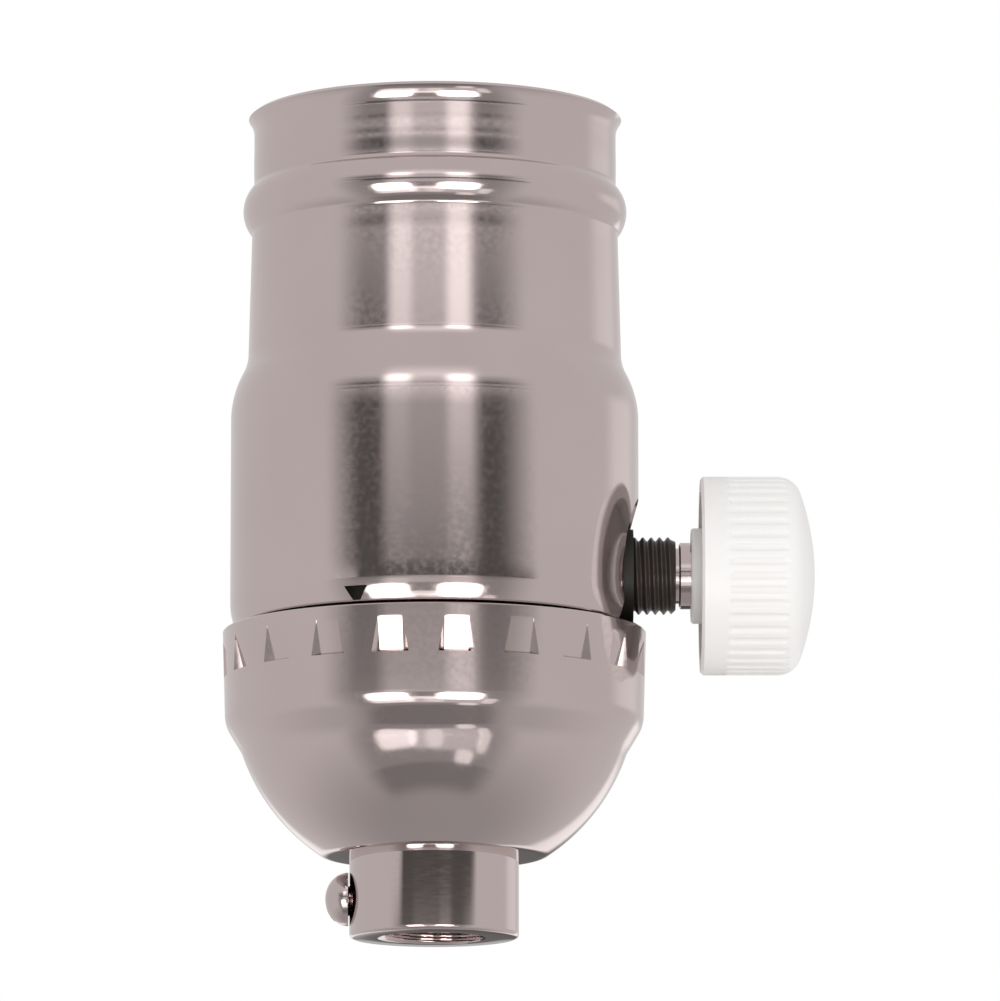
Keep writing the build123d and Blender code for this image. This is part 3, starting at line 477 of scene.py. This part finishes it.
brown_coating = new_material("brown_coating", (0.16, 0.03, 0.018), metallic=0.0, roughness=0.25)
vary(brown_coating, "Roughness", add_noise(brown_coating, 500), 0.18, 0.32)

tan_coating = new_material("tan_coating", (0.5, 0.33, 0.17), metallic=0.0, roughness=0.4)
vary(tan_coating, "Roughness", add_noise(tan_coating, 500), 0.32, 0.48)

blue_coating = new_material("blue_coating", (0.03, 0.08, 0.3), metallic=0.0, roughness=0.25)
vary(blue_coating, "Roughness", add_noise(blue_coating, 500), 0.18, 0.32)

copper = new_material("copper_winding", (0.5, 0.2, 0.09), metallic=1.0, roughness=0.3)
roughen(copper, add_noise(copper, 1200, detail=2, stretch=(8, 1, 1)), strength=0.5, depth=0.1)

by_slot = {
    "nickel_plate": nickel, "white_plastic": white_plastic, "black_plastic": black_plastic, "fibre": fibre,
    "rolled_aluminium": aluminium, "brass": brass, "zinc_steel": zinc, "black_phenolic": phenolic,
    "board_laminate": laminate, "brown_coating": brown_coating, "tan_coating": tan_coating,
    "blue_coating": blue_coating, "copper_winding": copper,
}
for part in frame["record"]["subparts"]:
    node = frame["nodes"][part["node"]]
    node.data.materials.clear()
    node.data.materials.append(by_slot[part["material_slot"]])


# Outer shell, with the slot for the control's boss and a small notch
def bead_foot(wall_radius):
    """Half height and angle of the bead where its fillet meets a wall of this radius."""
    out = wall_radius + bead_fillet - (neck_radius + bead_height - bead_crown)
    rise = sqrt((bead_crown + bead_fillet) ** 2 - out**2)
    return rise, atan2(rise, out)


def roll_mark(z):
    """Height of the faint ridge that rolling the bead left above it."""
    share = (z - bead_z - roll_mark_rise) / (roll_mark_width / 2)
    return roll_mark_height * (1 + cos(pi * share)) / 2 if abs(share) < 1 else 0


def shell_outline(inset):
    """Shell's outer line, or its inner one, from the lip down to the hooked end."""
    upper_rise, upper_angle = bead_foot(neck_radius)
    lower_angle = bead_foot(lower_neck_radius)[1]
    hook_step = tuck_depth + cap_gap - collar_draft - seat_gap
    lip_height = (lip_curve + shell_wall) * sin(radians(lip_turn))
    points = [(neck_radius - inset, rim_z - lip_height)]
    turn_arc(points, pi / 2, lip_curve + inset, -radians(lip_turn), 16)
    points.reverse()
    upper_neck = rows_between(points[-1], (neck_radius - inset, bead_z + upper_rise), roll_mark_row)
    points += [(radius + roll_mark(z), z) for radius, z in upper_neck]
    heading = turn_arc(points, -pi / 2, bead_fillet + inset, upper_angle)
    heading = turn_arc(points, heading, bead_crown - inset, -upper_angle - lower_angle, 24)
    turn_arc(points, heading, bead_fillet + inset, lower_angle)
    points += rows_between(points[-1], (shoulder_radius - inset, shoulder_top_z), wall_row)
    joggle(points, shoulder_height, shoulder_step, shoulder_hollow, inset)
    points += rows_between(points[-1], (body_radius - inset, tuck_top_z), body_row)
    joggle(points, tuck_height, -tuck_depth, tuck_bend, inset)
    points.append((tuck_radius - inset, floor_z + hook_length + hook_height))
    joggle(points, hook_height, hook_step, inset=inset)
    points.append((tuck_radius + hook_step - inset, floor_z))
    return points


def slot_section(radius, steps=48):
    """Outline, in the plane square to X, of the round-topped slot around the boss."""
    angles = [pi * i / steps for i in range(steps + 1)]
    arch = [(0, radius * cos(angle), axis_z + radius * sin(angle)) for angle in angles]
    return [*arch, (0, -radius, floor_z - slot_overrun), (0, radius, floor_z - slot_overrun)]


boss_slot = prism(slot_section(boss_radius + slot_gap), (0, 0, 0), (2 * body_radius, 0, 0))
shell_loop = shell_outline(0) + shell_outline(shell_wall)[::-1]
outer_shell = new_piece(
    "outer_shell_drawn", *turned(shell_loop, shell_segments), nickel,
    "socket_body", "outer_shell", "nickel_plate",
)
cut_away(outer_shell, *boss_slot)
notch_turn = radians(notch_angle)
notch_out = Vector((sin(notch_turn), -cos(notch_turn), 0))
notch_side = Vector((cos(notch_turn), sin(notch_turn), 0))
notch_z = cap_rim_z + notch_rise
notch_foot_middle = Vector((0, 0, notch_z))
notch_top_middle = Vector((0, 0, notch_z + notch_height))
notch_section = [
    notch_side * -notch_foot / 2 + notch_foot_middle,
    notch_side * notch_foot / 2 + notch_foot_middle,
    notch_side * notch_width / 2 + notch_top_middle,
    notch_side * -notch_width / 2 + notch_top_middle,
]
cut_away(outer_shell, *prism(notch_section, (0, 0, 0), notch_out * 2 * body_radius))


# Fibre sleeve
def sleeve_outline(inset):
    """Sleeve's outer line, or its inner one, from its top down."""
    neck_out = sleeve_neck_radius + sleeve_wall - inset
    points = [(neck_out, sleeve_high.z), (neck_out, lamp_floor_z + sleeve_neck_rise)]
    joggle(points, sleeve_shoulder_height, sleeve_high.y - sleeve_wall - sleeve_neck_radius, inset=inset)
    return points + rows_between(points[-1], (sleeve_high.y - inset, floor_z), wall_row)


sleeve_loop = sleeve_outline(0) + sleeve_outline(sleeve_wall)[::-1]
sleeve = new_piece(
    "insulating_sleeve_rolled", *turned(sleeve_loop, sleeve_segments), fibre,
    "socket_body", "insulating_sleeve", "fibre",
)
cut_away(sleeve, *boss_slot)

# Screw shell: every row of the thread is a circle, carried round the axis as it climbs
thread_middle = lamp_minor_radius + lamp_thread_depth / 2
mouth_outer_radius = screw_high.y


def rolled_thread(radius, height, angle):
    """Radius of the rolled lamp thread at a height and angle; other rows stay as they are."""
    if thread_foot_z < height < mouth_z:
        turn = 2 * pi * (height - thread_foot_z) / lamp_pitch
        run = min(height - thread_foot_z, mouth_z - height)
        return radius + min(1, run / lamp_thread_fade) * lamp_thread_depth / 2 * cos(angle - turn)
    return radius


thread_length = mouth_z - thread_foot_z
thread_heights = [thread_foot_z + thread_length * i / lamp_thread_rows for i in range(lamp_thread_rows + 1)]
floor_radius = lamp_minor_radius - floor_flange
screw_loop = [
    (floor_radius, lamp_floor_z),
    *((thread_middle + screw_shell_wall, z) for z in [lamp_floor_z, *thread_heights]),
    (mouth_outer_radius, mouth_z),
    (mouth_outer_radius, screw_high.z),
    (mouth_outer_radius - screw_shell_wall, screw_high.z),
    (mouth_outer_radius - screw_shell_wall, mouth_z + screw_shell_wall),
    (thread_middle, mouth_z + screw_shell_wall),
    *((thread_middle, z) for z in thread_heights[::-1]),
    (floor_radius, thread_foot_z),
]
new_piece(
    "screw_shell_rolled", *turned(screw_loop, screw_shell_segments, shift=rolled_thread), aluminium,
    "socket_body", "screw_shell", "rolled_aluminium", sharp=40,
)


# Cap: turned wall with a ring of lanced catches in its collar
def cap_outline():
    """Cap's outer line from its hole up to the end of the collar's rounded foot."""
    foot_radius = spigot_radius + bowl_foot
    bowl_top_radius = collar_foot_radius - bevel_step
    chord = Vector((bowl_top_radius - foot_radius, bowl_top_z - hub_height))
    half_turn = asin(chord.length / 2 / bowl_curve)
    heading = atan2(chord.y, chord.x) - half_turn
    points = [(spigot_radius + hole_gap, hub_height), (foot_radius, hub_height)]
    turn_arc(points, heading, bowl_curve, 2 * half_turn, 20)
    bevel = atan2(bevel_height, bevel_step)
    collar = atan2(cap_rim_z - collar_foot_z, collar_draft)
    reach = collar_fillet * tan((collar - bevel) / 2)
    fillet_start = (collar_foot_radius - reach * cos(bevel), collar_foot_z - reach * sin(bevel))
    points += rows_between(points[-1], fillet_start, bevel_row)
    turn_arc(points, bevel, collar_fillet, collar - bevel, 14)
    return round_corner(points, 1, bowl_fillet)


def wall_at(z):
    """Radius of the collar's outer wall at a height."""
    return collar_radius - collar_draft * (cap_rim_z - z) / (cap_rim_z - collar_foot_z)


catch_pitch = 2 * pi * collar_radius / catch_count
catch_foot_radius = collar_radius - tuck_depth - cap_gap + seat_gap
catch_depth = wall_at(catch_foot_z) - catch_foot_radius
catch_slope = atan2(wall_at(catch_top_z) - catch_foot_radius, catch_height)
catch_spread = tan(radians(catch_flare)) * cos(catch_slope)  # sideways, for each millimetre of depth
least_spread = 0.03  # share of the full spread, so that no two columns of points meet


def catch_press(across, z):
    """How deep the collar is pressed in at a height and a distance from a catch's middle."""
    floor = catch_depth * (catch_top_z - z) / catch_height
    return max(0, min(floor, floor - (abs(across) - catch_width / 2) / catch_spread))


def catch_place(step, z):
    """Distance of a column of points from its catch's middle: 0 to 4 goes from side to side and on."""
    share = min(1, max(least_spread, (catch_top_z - z) / catch_height))
    half = catch_width / 2
    edge = half + catch_spread * catch_depth * share
    breaks = (-edge, -half, half, edge, catch_pitch - edge)
    low = int(step)
    return breaks[low] + (breaks[low + 1] - breaks[low]) * (step - low)


def cap_ring():
    """Cap's outer and inner line with rows at the catches, and the row of the catches' foot."""
    outer = cap_outline()
    heights = [catch_foot_z - drop for drop in rows_below_catch]
    foot_row = len(outer) + len(heights)
    heights += [catch_foot_z + catch_height * i / catch_rows for i in range(catch_rows + 1)]
    heights += [catch_top_z + row_above_catch, cap_rim_z - rim_round]
    outer += [(wall_at(z), z) for z in heights]
    inner = []
    for index, point in enumerate(outer):
        before = Vector(outer[max(index - 1, 0)])
        after = Vector(outer[min(index + 1, len(outer) - 1)])
        along = (after - before).normalized()
        inset = Vector(point) + cap_wall * Vector((-along.y, along.x))
        inner.append((inset.x, point[1] if index >= foot_row else inset.y))
    outer.append((collar_radius - rim_round, cap_rim_z))
    inner.append((collar_radius - cap_wall, cap_rim_z))
    return outer, inner, foot_row


def lanced_cap():
    """Points and faces of the cap. Each catch's lower edge is cut free of the wall below it."""
    outer, inner, foot_row = cap_ring()
    verts, faces, columns = [], [], []
    steps = [part + i / count for part, count in enumerate(catch_columns) for i in range(count)]

    def add(radius, z, middle, step, pressed=False):
        across = catch_place(step, z)
        if pressed:
            radius -= catch_press(across, z)
        angle = middle + across / collar_radius
        verts.append((radius * cos(angle), radius * sin(angle), z))
        return len(verts) - 1

    for number in range(catch_count * len(steps)):
        step = steps[number % len(steps)]
        middle = radians(catch_angle - 90) + 2 * pi * (number // len(steps)) / catch_count
        free = 0 < step < 3
        column = {"free": free, "below": [], "above": []}
        for line in (outer, inner):
            below = [add(*point, middle, step) for point in line[: foot_row + 1]]
            above = [] if free else [below[-1]]
            above += [add(*point, middle, step, True) for point in line[foot_row + len(above):]]
            column["below"].append(below)
            column["above"].append(above)
        columns.append(column)

    for here, there in zip(columns, columns[1:] + columns[:1]):
        for part in ("below", "above"):
            for a, b in zip(here[part], there[part]):
                for row in range(len(a) - 1):
                    faces.append((a[row], b[row], b[row + 1], a[row + 1]))
        edges = [("below", 0), ("above", -1)]
        if here["free"] or there["free"]:
            edges += [("below", -1), ("above", 0)]
        for part, end in edges:
            (a, c), (b, d) = here[part], there[part]
            faces.append((a[end], b[end], d[end], c[end]))
    return verts, faces


new_piece("socket_cap_drawn", *lanced_cap(), nickel, "socket_body", "socket_cap", "nickel_plate", sharp=38)


# Hub, with the pipe thread cut in its bore
def pipe_thread(radius, height, angle):
    """Bore radius with the pipe thread in it; the other rows stay as they are."""
    if radius > pipe_bore_radius + same_size:
        return radius
    return radius + pipe_thread_depth * thread_wave(height, angle, pipe_thread_pitch)


clinch_foot_z = hub_height + cap_wall
clinch_top_z = clinch_foot_z + clinch_height
hub_radius = hub_high.y
hub_side_start = (hub_radius, hub_chamfer + hub_edge_row)
hub_bulge = hub_chamfer * hub_chamfer_bulge
hub_loop = [
    (pipe_bore_radius + pipe_mouth, 0),
    (hub_radius - hub_chamfer, 0),
    (hub_radius - hub_bulge, hub_bulge),
    (hub_radius, hub_chamfer),
    hub_side_start,
    *rows_between(hub_side_start, (hub_radius, hub_height), hub_row),
    (spigot_radius, hub_height),
    (spigot_radius, clinch_foot_z),
    (spigot_radius + clinch_lip, clinch_foot_z),
    (spigot_radius, clinch_top_z),
    (pipe_bore_radius + pipe_mouth, clinch_top_z),
    *rows_between((pipe_bore_radius, clinch_top_z), (pipe_bore_radius, 0), thread_row),
]
hub = new_piece(
    "cap_hub_turned", *turned(hub_loop, hub_segments, shift=pipe_thread), turned_nickel,
    "socket_body", "cap_hub", "nickel_plate", sharp=50,
)
screw_place = Matrix.Translation((0, 0, set_screw_height)) @ Matrix.Rotation(-pi / 2, 4, "Y")
hole_radius = set_screw_radius + hole_gap
hole_line = [(hole_radius, set_screw_hole_start), (hole_radius, 2 * hub_radius)]
hole_verts, hole_faces = turned(hole_line, hole_segments, screw_place, closed=False)
hole_ends = [tuple(range(end, len(hole_verts), 2)) for end in (0, 1)]
cut_away(hub, hole_verts, hole_faces + hole_ends, sharp=50)

# Set screw: domed slotted head, threaded shank
head_top = -set_screw_low.x
head_seat = hub_radius + head_gap
head_radius = set_screw_high.y
head_height = head_top - head_seat


def screw_thread(radius, height, angle):
    """Shank radius with the set screw's thread cut in it."""
    if abs(radius - set_screw_radius) > same_size:
        return radius
    return radius - set_screw_thread_depth * (1 - thread_wave(height, angle, set_screw_pitch))


head_angles = [pi / 2 * i / head_rows for i in range(head_rows)]
screw_tip = -set_screw_high.x
set_screw_loop = [
    (axis_core, screw_tip),
    (set_screw_radius - set_screw_point, screw_tip),
    *rows_between((set_screw_radius, screw_tip + thread_row), (set_screw_radius, head_seat), thread_row),
    *((head_radius * cos(angle), head_seat + head_height * sin(angle)) for angle in head_angles),
    (axis_core, head_top),
]
set_screw = new_piece(
    "set_screw_turned", *turned(set_screw_loop, set_screw_segments, screw_place, screw_thread), nickel,
    "hub_screw", "set_screw", "nickel_plate", sharp=40,
)
slot_half = slot_width / 2
slot_low, slot_high = set_screw_height - cut_reach, set_screw_height + cut_reach
slot_bottom = [
    (0, slot_half, slot_low),
    (0, -slot_half, slot_low),
    (0, -slot_half, slot_high),
    (0, slot_half, slot_high),
]
slot_cut = prism(slot_bottom, (slot_depth - head_top, 0, 0), (-head_top - cut_reach, 0, 0))
cut_away(set_screw, *slot_cut, sharp=40)

# Bushing, with its fine thread
control_place = Matrix.Translation((0, 0, axis_z)) @ Matrix.Rotation(pi / 2, 4, "Y")
flange_front = bushing_low.x + bushing_flange_thickness


def bushing_thread(radius, height, angle):
    """Stem radius with the bushing's thread; the thread fades at both its ends."""
    if abs(radius - bushing_radius) > same_size:
        return radius
    fade_in = (height - flange_front - bushing_plain_length) / bushing_fade_in
    fade_out = (bushing_high.x - height) / bushing_fade_out
    depth = bushing_thread_depth * min(1, max(0, fade_in), max(0, fade_out))
    return radius - depth * (1 - thread_wave(height, angle, bushing_thread_pitch))


bore = shaft_radius + hole_gap
stem_start = (bushing_radius, flange_front)
stem_end = (bushing_radius, bushing_high.x - bushing_chamfer)
bushing_loop = [
    (bore, bushing_low.x),
    (bushing_radius + bushing_flange_lip, bushing_low.x),
    (bushing_radius + bushing_flange_lip, flange_front),
    *rows_between(stem_start, stem_end, bushing_thread_row),
    (bushing_radius - bushing_chamfer, bushing_high.x),
    (bore, bushing_high.x),
]
new_piece(
    "control_bushing_threaded", *turned(bushing_loop, bushing_segments, control_place, bushing_thread),
    black_plastic, "socket_body", "control_bushing", "black_plastic", sharp=50,
)

# Shaft: round end that shows between the bushing and the knob
shaft_step = bushing_high.x + shaft_end_gap
round_end = knob_low.x - shaft_flat_gap
shaft_loop = [
    (axis_core, shaft_low.x),
    (shaft_radius - shaft_chamfer, shaft_low.x),
    (shaft_radius, shaft_low.x + shaft_chamfer),
    (shaft_radius, shaft_step),
    (shaft_end_radius - shaft_end_chamfer, shaft_step),
    (shaft_end_radius, shaft_step + shaft_end_chamfer),
    (shaft_end_radius, round_end),
    (shaft_end_radius, shaft_high.x - shaft_chamfer),
    (shaft_end_radius - shaft_chamfer, shaft_high.x),
    (axis_core, shaft_high.x),
]
shaft = new_piece(
    "dimmer_shaft_turned", *turned(shaft_loop, shaft_segments, control_place), nickel,
    "dimmer_control", "dimmer_shaft", "nickel_plate",
)
flat_z = axis_z + shaft_end_radius - shaft_flat
flat_section = [
    (0, -cut_reach, flat_z),
    (0, cut_reach, flat_z),
    (0, cut_reach, flat_z + cut_reach),
    (0, -cut_reach, flat_z + cut_reach),
]
cut_away(shaft, *prism(flat_section, (round_end, 0, 0), (shaft_high.x + cut_reach, 0, 0)))

# Knob: ribbed skirt, domed face, hollow back around its boss
knob_radius = knob_high.y
knob_back = knob_low.x + knob_neck_length
dome_curve = (knob_radius**2 + knob_dome**2) / (2 * knob_dome)


def ribs(radius, height, angle):
    """Radius of the knob with its grooves, which start a little way from the back."""
    start = knob_back + rib_start
    if radius < knob_radius - rib_zone or height < start:
        return radius
    ease = min(1, (height - start) / rib_runout)
    period = 2 * pi / rib_count
    across = abs((angle + period / 2) % period - period / 2) * knob_radius
    center = knob_radius + rib_groove_radius - rib_groove_depth
    if across >= rib_groove_radius:
        return radius
    bottom = center - sqrt(rib_groove_radius**2 - across**2)
    return radius + ease * min(0, bottom - radius)


edge_tilt = asin((knob_radius - knob_edge) / (dome_curve - knob_edge))  # where the dome meets the edge
edge_start = knob_high.x - dome_curve + (dome_curve - knob_edge) * cos(edge_tilt)
knob_side = [(knob_radius - knob_back_chamfer, knob_back), (knob_radius, knob_back + knob_back_chamfer)]
knob_side += rows_between(knob_side[-1], (knob_radius, edge_start), knob_row)
heading = turn_arc(knob_side, pi / 2, knob_edge, pi / 2 - edge_tilt, 16)
turn_arc(knob_side, heading, dome_curve, edge_tilt, 20)
knob_side[-1] = (axis_core, knob_high.x)
knob_loop = [
    (shaft_end_radius + hole_gap, knob_low.x),
    (knob_neck_radius - knob_neck_chamfer, knob_low.x),
    (knob_neck_radius, knob_low.x + knob_neck_chamfer),
    (knob_neck_radius, knob_back + knob_hollow),
    (knob_radius - knob_wall, knob_back + knob_hollow),
    (knob_radius - knob_wall, knob_back),
    *knob_side,
    (axis_core, knob_low.x + knob_bore_depth),
    (shaft_end_radius + hole_gap, knob_low.x + knob_bore_depth),
]
new_piece(
    "dimmer_knob_ribbed", *turned(knob_loop, rib_count * rib_segments, control_place, ribs), white_plastic,
    "dimmer_control", "dimmer_knob", "white_plastic",
)


# Stage: pale floor, a dome of reflected cards, soft lamps and the camera
def stage_mesh(name, verts, faces, material):
    """Mesh that belongs to the studio and not to the object."""
    thing = add_object(name, new_mesh(name, verts, faces))
    thing.data.materials.append(material)
    return thing


def step_up(value, low, high):
    """Smooth step from 0 at low to 1 at high."""
    share = min(1, max(0, (value - low) / (high - low)))
    return share * share * (3 - 2 * share)


def band(value, low, high, soft):
    """1 between low and high, fading over soft at both ends."""
    return step_up(value, low - soft, low + soft) * (1 - step_up(value, high - soft, high + soft))


# Light of the cards, with angles in degrees: a band has its lowest and highest angle and its softness
tent_light = 0.7
ground_light = 0.42
dark_light = 0.1
soft_cards = (  # light, then the middle and half size in azimuth and in elevation
    (4.0, -26, 12, -19, 12),
    (4.0, 15, 13, -19, 12),
    (0.85, -6, 14, -25, 4),
    (1.05, -25, 14, -33, 8),
    (0.4, -5, 12, -34, 8),
    (0.35, 13, 19, -34, 9),
    (0.65, 34, 4, -34, 9),
    (0.75, 23, 7, -46, 4),
)


def front_light(azimuth, elevation):
    """Brightness of the cards around the camera and of their gaps, mirrored by the middle of the socket."""
    ground = 0.26 * band(elevation, -50, 2.4, 1.5) + 0.16 * step_up(-elevation, 48, 52)
    low_glow = band(elevation, 2.6, 5.4, 0.5)
    bars = 0.65 * band(elevation, 11.2, 12.2, 0.4) + 0.65 * band(elevation, 13.95, 15.0, 0.4)
    ceiling = 0.35 * step_up(elevation, 15.5, 20) + 0.25 * step_up(elevation, 20, 26)
    light = dark_light + ground + 0.2 * low_glow + bars + ceiling

    middle = band(azimuth, -28, 25, 5)
    wall_glow = step_up(elevation, 8, 9.5) * (1 - step_up(elevation, 24, 40))
    light += middle * (0.27 * band(elevation, -6, 5.4, 0.6) + 0.4 * wall_glow)

    left, right = band(azimuth, -28, -14, 4), band(azimuth, 8, 22, 4)
    fade = 1 - step_up(elevation, 23, 26)
    light += left * fade * (0.15 * step_up(elevation, 9, 10) + 0.27 * step_up(elevation, 10, 14))
    light += right * fade * (0.4 * low_glow + 0.65 * step_up(elevation, 8.6, 11))
    light += (left + right) * (0.2 * band(elevation, -6, 2, 1) + 1.1 * band(elevation, 18, 26, 3))

    for strength, turn, half_turn, rise, half_rise in soft_cards:
        reach = ((azimuth - turn) / half_turn) ** 4 + ((elevation - rise) / half_rise) ** 4
        light += strength * (1 - step_up(reach, 0.35, 1.5))
    return light


def rear_light(turn):
    """Brightness added straight behind, by an angle from there: two soft cards beside a dark gap."""
    return 0.5 * band(turn, -28, -14, 3) + 0.45 * band(turn, 7, 18, 3) - 0.55 * band(turn, -11, 4, 3)


def card_light(azimuth, elevation):
    """Brightness of the cards, by angles in degrees from the photograph's side of the object."""
    tent = tent_light + (ground_light - tent_light) * step_up(-elevation, 18, 72)
    tent += rear_light(azimuth % 360 - 180) * band(elevation, -44, -2, 4)
    tent += 0.2 * band(azimuth, 118, 146, 8) * band(elevation, 2, 14, 4)
    edge = 20 * band(elevation, 5.9, 7.9, 0.3)  # sharper and further right beside the hub
    front = step_up(azimuth, edge - 66, -41) * (1 - step_up(azimuth, edge + 34, 62))
    front *= step_up(elevation, -72, -61)
    return tent + front * (front_light(azimuth, elevation) - tent)


def card_dome(radius=3.0, columns=360, rows=360):
    """Ball of cards around the object, seen only in reflections, lit by its own angles."""
    material = bpy.data.materials.new("cards")
    material.use_nodes = True
    tree = material.node_tree
    tree.nodes.clear()
    level = tree.nodes.new("ShaderNodeAttribute")
    level.attribute_name = "card_light"
    glow = tree.nodes.new("ShaderNodeEmission")
    out = tree.nodes.new("ShaderNodeOutputMaterial")
    glow.inputs["Color"].default_value = (1.0, 0.985, 0.98, 1)
    tree.links.new(level.outputs["Fac"], glow.inputs["Strength"])
    tree.links.new(glow.outputs["Emission"], out.inputs["Surface"])
    verts, faces, lights = [], [], []
    for row in range(rows + 1):
        elevation = radians(-90 + 180 * row / rows)
        for column in range(columns):
            azimuth = 2 * pi * column / columns
            reach = radius * cos(elevation)
            height = radius * sin(elevation) + axis_z * MM
            verts.append((reach * sin(azimuth), -reach * cos(azimuth), height))
            turn = (degrees(azimuth) + 180) % 360 - 180
            lights.append(card_light(turn, degrees(elevation)))
    for row in range(rows):
        for column in range(columns):
            beside = (column + 1) % columns
            here, up = row * columns, (row + 1) * columns
            faces.append((here + column, here + beside, up + beside, up + column))
    dome_of_cards = stage_mesh("cards", verts, faces, material)
    attribute = dome_of_cards.data.attributes.new("card_light", "FLOAT", "POINT")
    attribute.data.foreach_set("value", lights)
    for ray in ("camera", "diffuse", "transmission", "volume_scatter", "shadow"):
        setattr(dome_of_cards, f"visible_{ray}", False)


def pale_floor(size=4.0):
    """Pale floor under the object that is clear when seen from below."""
    material = bpy.data.materials.new("pale_floor")
    material.use_nodes = True
    tree = material.node_tree
    shader = tree.nodes["Principled BSDF"]
    shader.inputs["Base Color"].default_value = (0.9, 0.9, 0.9, 1)
    shader.inputs["Roughness"].default_value = 0.9
    side = tree.nodes.new("ShaderNodeNewGeometry")
    clear = tree.nodes.new("ShaderNodeBsdfTransparent")
    mix = tree.nodes.new("ShaderNodeMixShader")
    tree.links.new(side.outputs["Backfacing"], mix.inputs["Fac"])
    tree.links.new(shader.outputs["BSDF"], mix.inputs[1])
    tree.links.new(clear.outputs["BSDF"], mix.inputs[2])
    tree.links.new(mix.outputs["Shader"], tree.nodes["Material Output"].inputs["Surface"])
    half = size / 2
    corners = [(-half, -half, 0), (half, -half, 0), (half, half, 0), (-half, half, 0)]
    floor = stage_mesh("floor", corners, [(0, 1, 2, 3)], material)
    floor.location.z = cad_box[0].z - floor_gap * MM
    floor.visible_glossy = False
    floor.visible_shadow = False


def white_world(ambient):
    """World that is white to the camera and in reflections, and lights the object at a plain level."""
    world = bpy.data.worlds.new("studio")
    bpy.context.scene.world = world
    world.use_nodes = True
    tree = world.node_tree
    rays = tree.nodes.new("ShaderNodeLightPath")
    seen = rays.outputs["Is Camera Ray"]
    for kind in ("Is Glossy Ray", "Is Transmission Ray"):
        most = tree.nodes.new("ShaderNodeMath")
        most.operation = "MAXIMUM"
        tree.links.new(seen, most.inputs[0])
        tree.links.new(rays.outputs[kind], most.inputs[1])
        seen = most.outputs[0]
    strength = tree.nodes.new("ShaderNodeMapRange")
    strength.inputs["To Min"].default_value = ambient
    strength.inputs["To Max"].default_value = 1.0
    tree.links.new(seen, strength.inputs["Value"])
    background = tree.nodes["Background"]
    background.inputs["Color"].default_value = (1, 1, 1, 1)
    tree.links.new(strength.outputs["Result"], background.inputs["Strength"])


def soft_lamp(name, place, size, power, target=(0, 0, 0.036)):
    """Square soft lamp aimed at the object and kept out of the camera and the reflections."""
    lamp = bpy.data.lights.new(name, "AREA")
    lamp.size = size
    lamp.energy = power
    holder = add_object(name, lamp)
    holder.location = place
    holder.rotation_euler = (Vector(target) - Vector(place)).to_track_quat("-Z", "Y").to_euler()
    holder.visible_camera = False
    holder.visible_glossy = False


card_dome()
pale_floor()
white_world(ambient=0.86)
soft_lamp("key", (-0.4, -0.9, 0.5), size=0.6, power=0.6)
soft_lamp("fill", (0.3, -1.0, 0.06), size=0.6, power=2.0)
soft_lamp("under", (0.15, -0.4, -0.75), size=0.6, power=1.5)

# Camera, in metres: the photograph looks up at the socket from a little below its hub
image_width = 1000
pixels_per_mm = 11.08
view_distance = 0.772
view_drop = 0.084
view_center = Vector((0.0059, 0, 0.0397))
camera = bpy.data.cameras.new("camera")
camera_holder = add_object("camera", camera)
camera_holder.location = (view_center.x, -view_distance, -view_drop)
sight = view_center - camera_holder.location
camera_holder.rotation_euler = sight.to_track_quat("-Z", "Y").to_euler()
camera.sensor_fit = "HORIZONTAL"
camera.lens = camera.sensor_width * pixels_per_mm * sight.length / MM / image_width
camera.clip_start = 0.01
bpy.context.scene.camera = camera_holder
bpy.context.scene.view_settings.view_transform = "Standard"
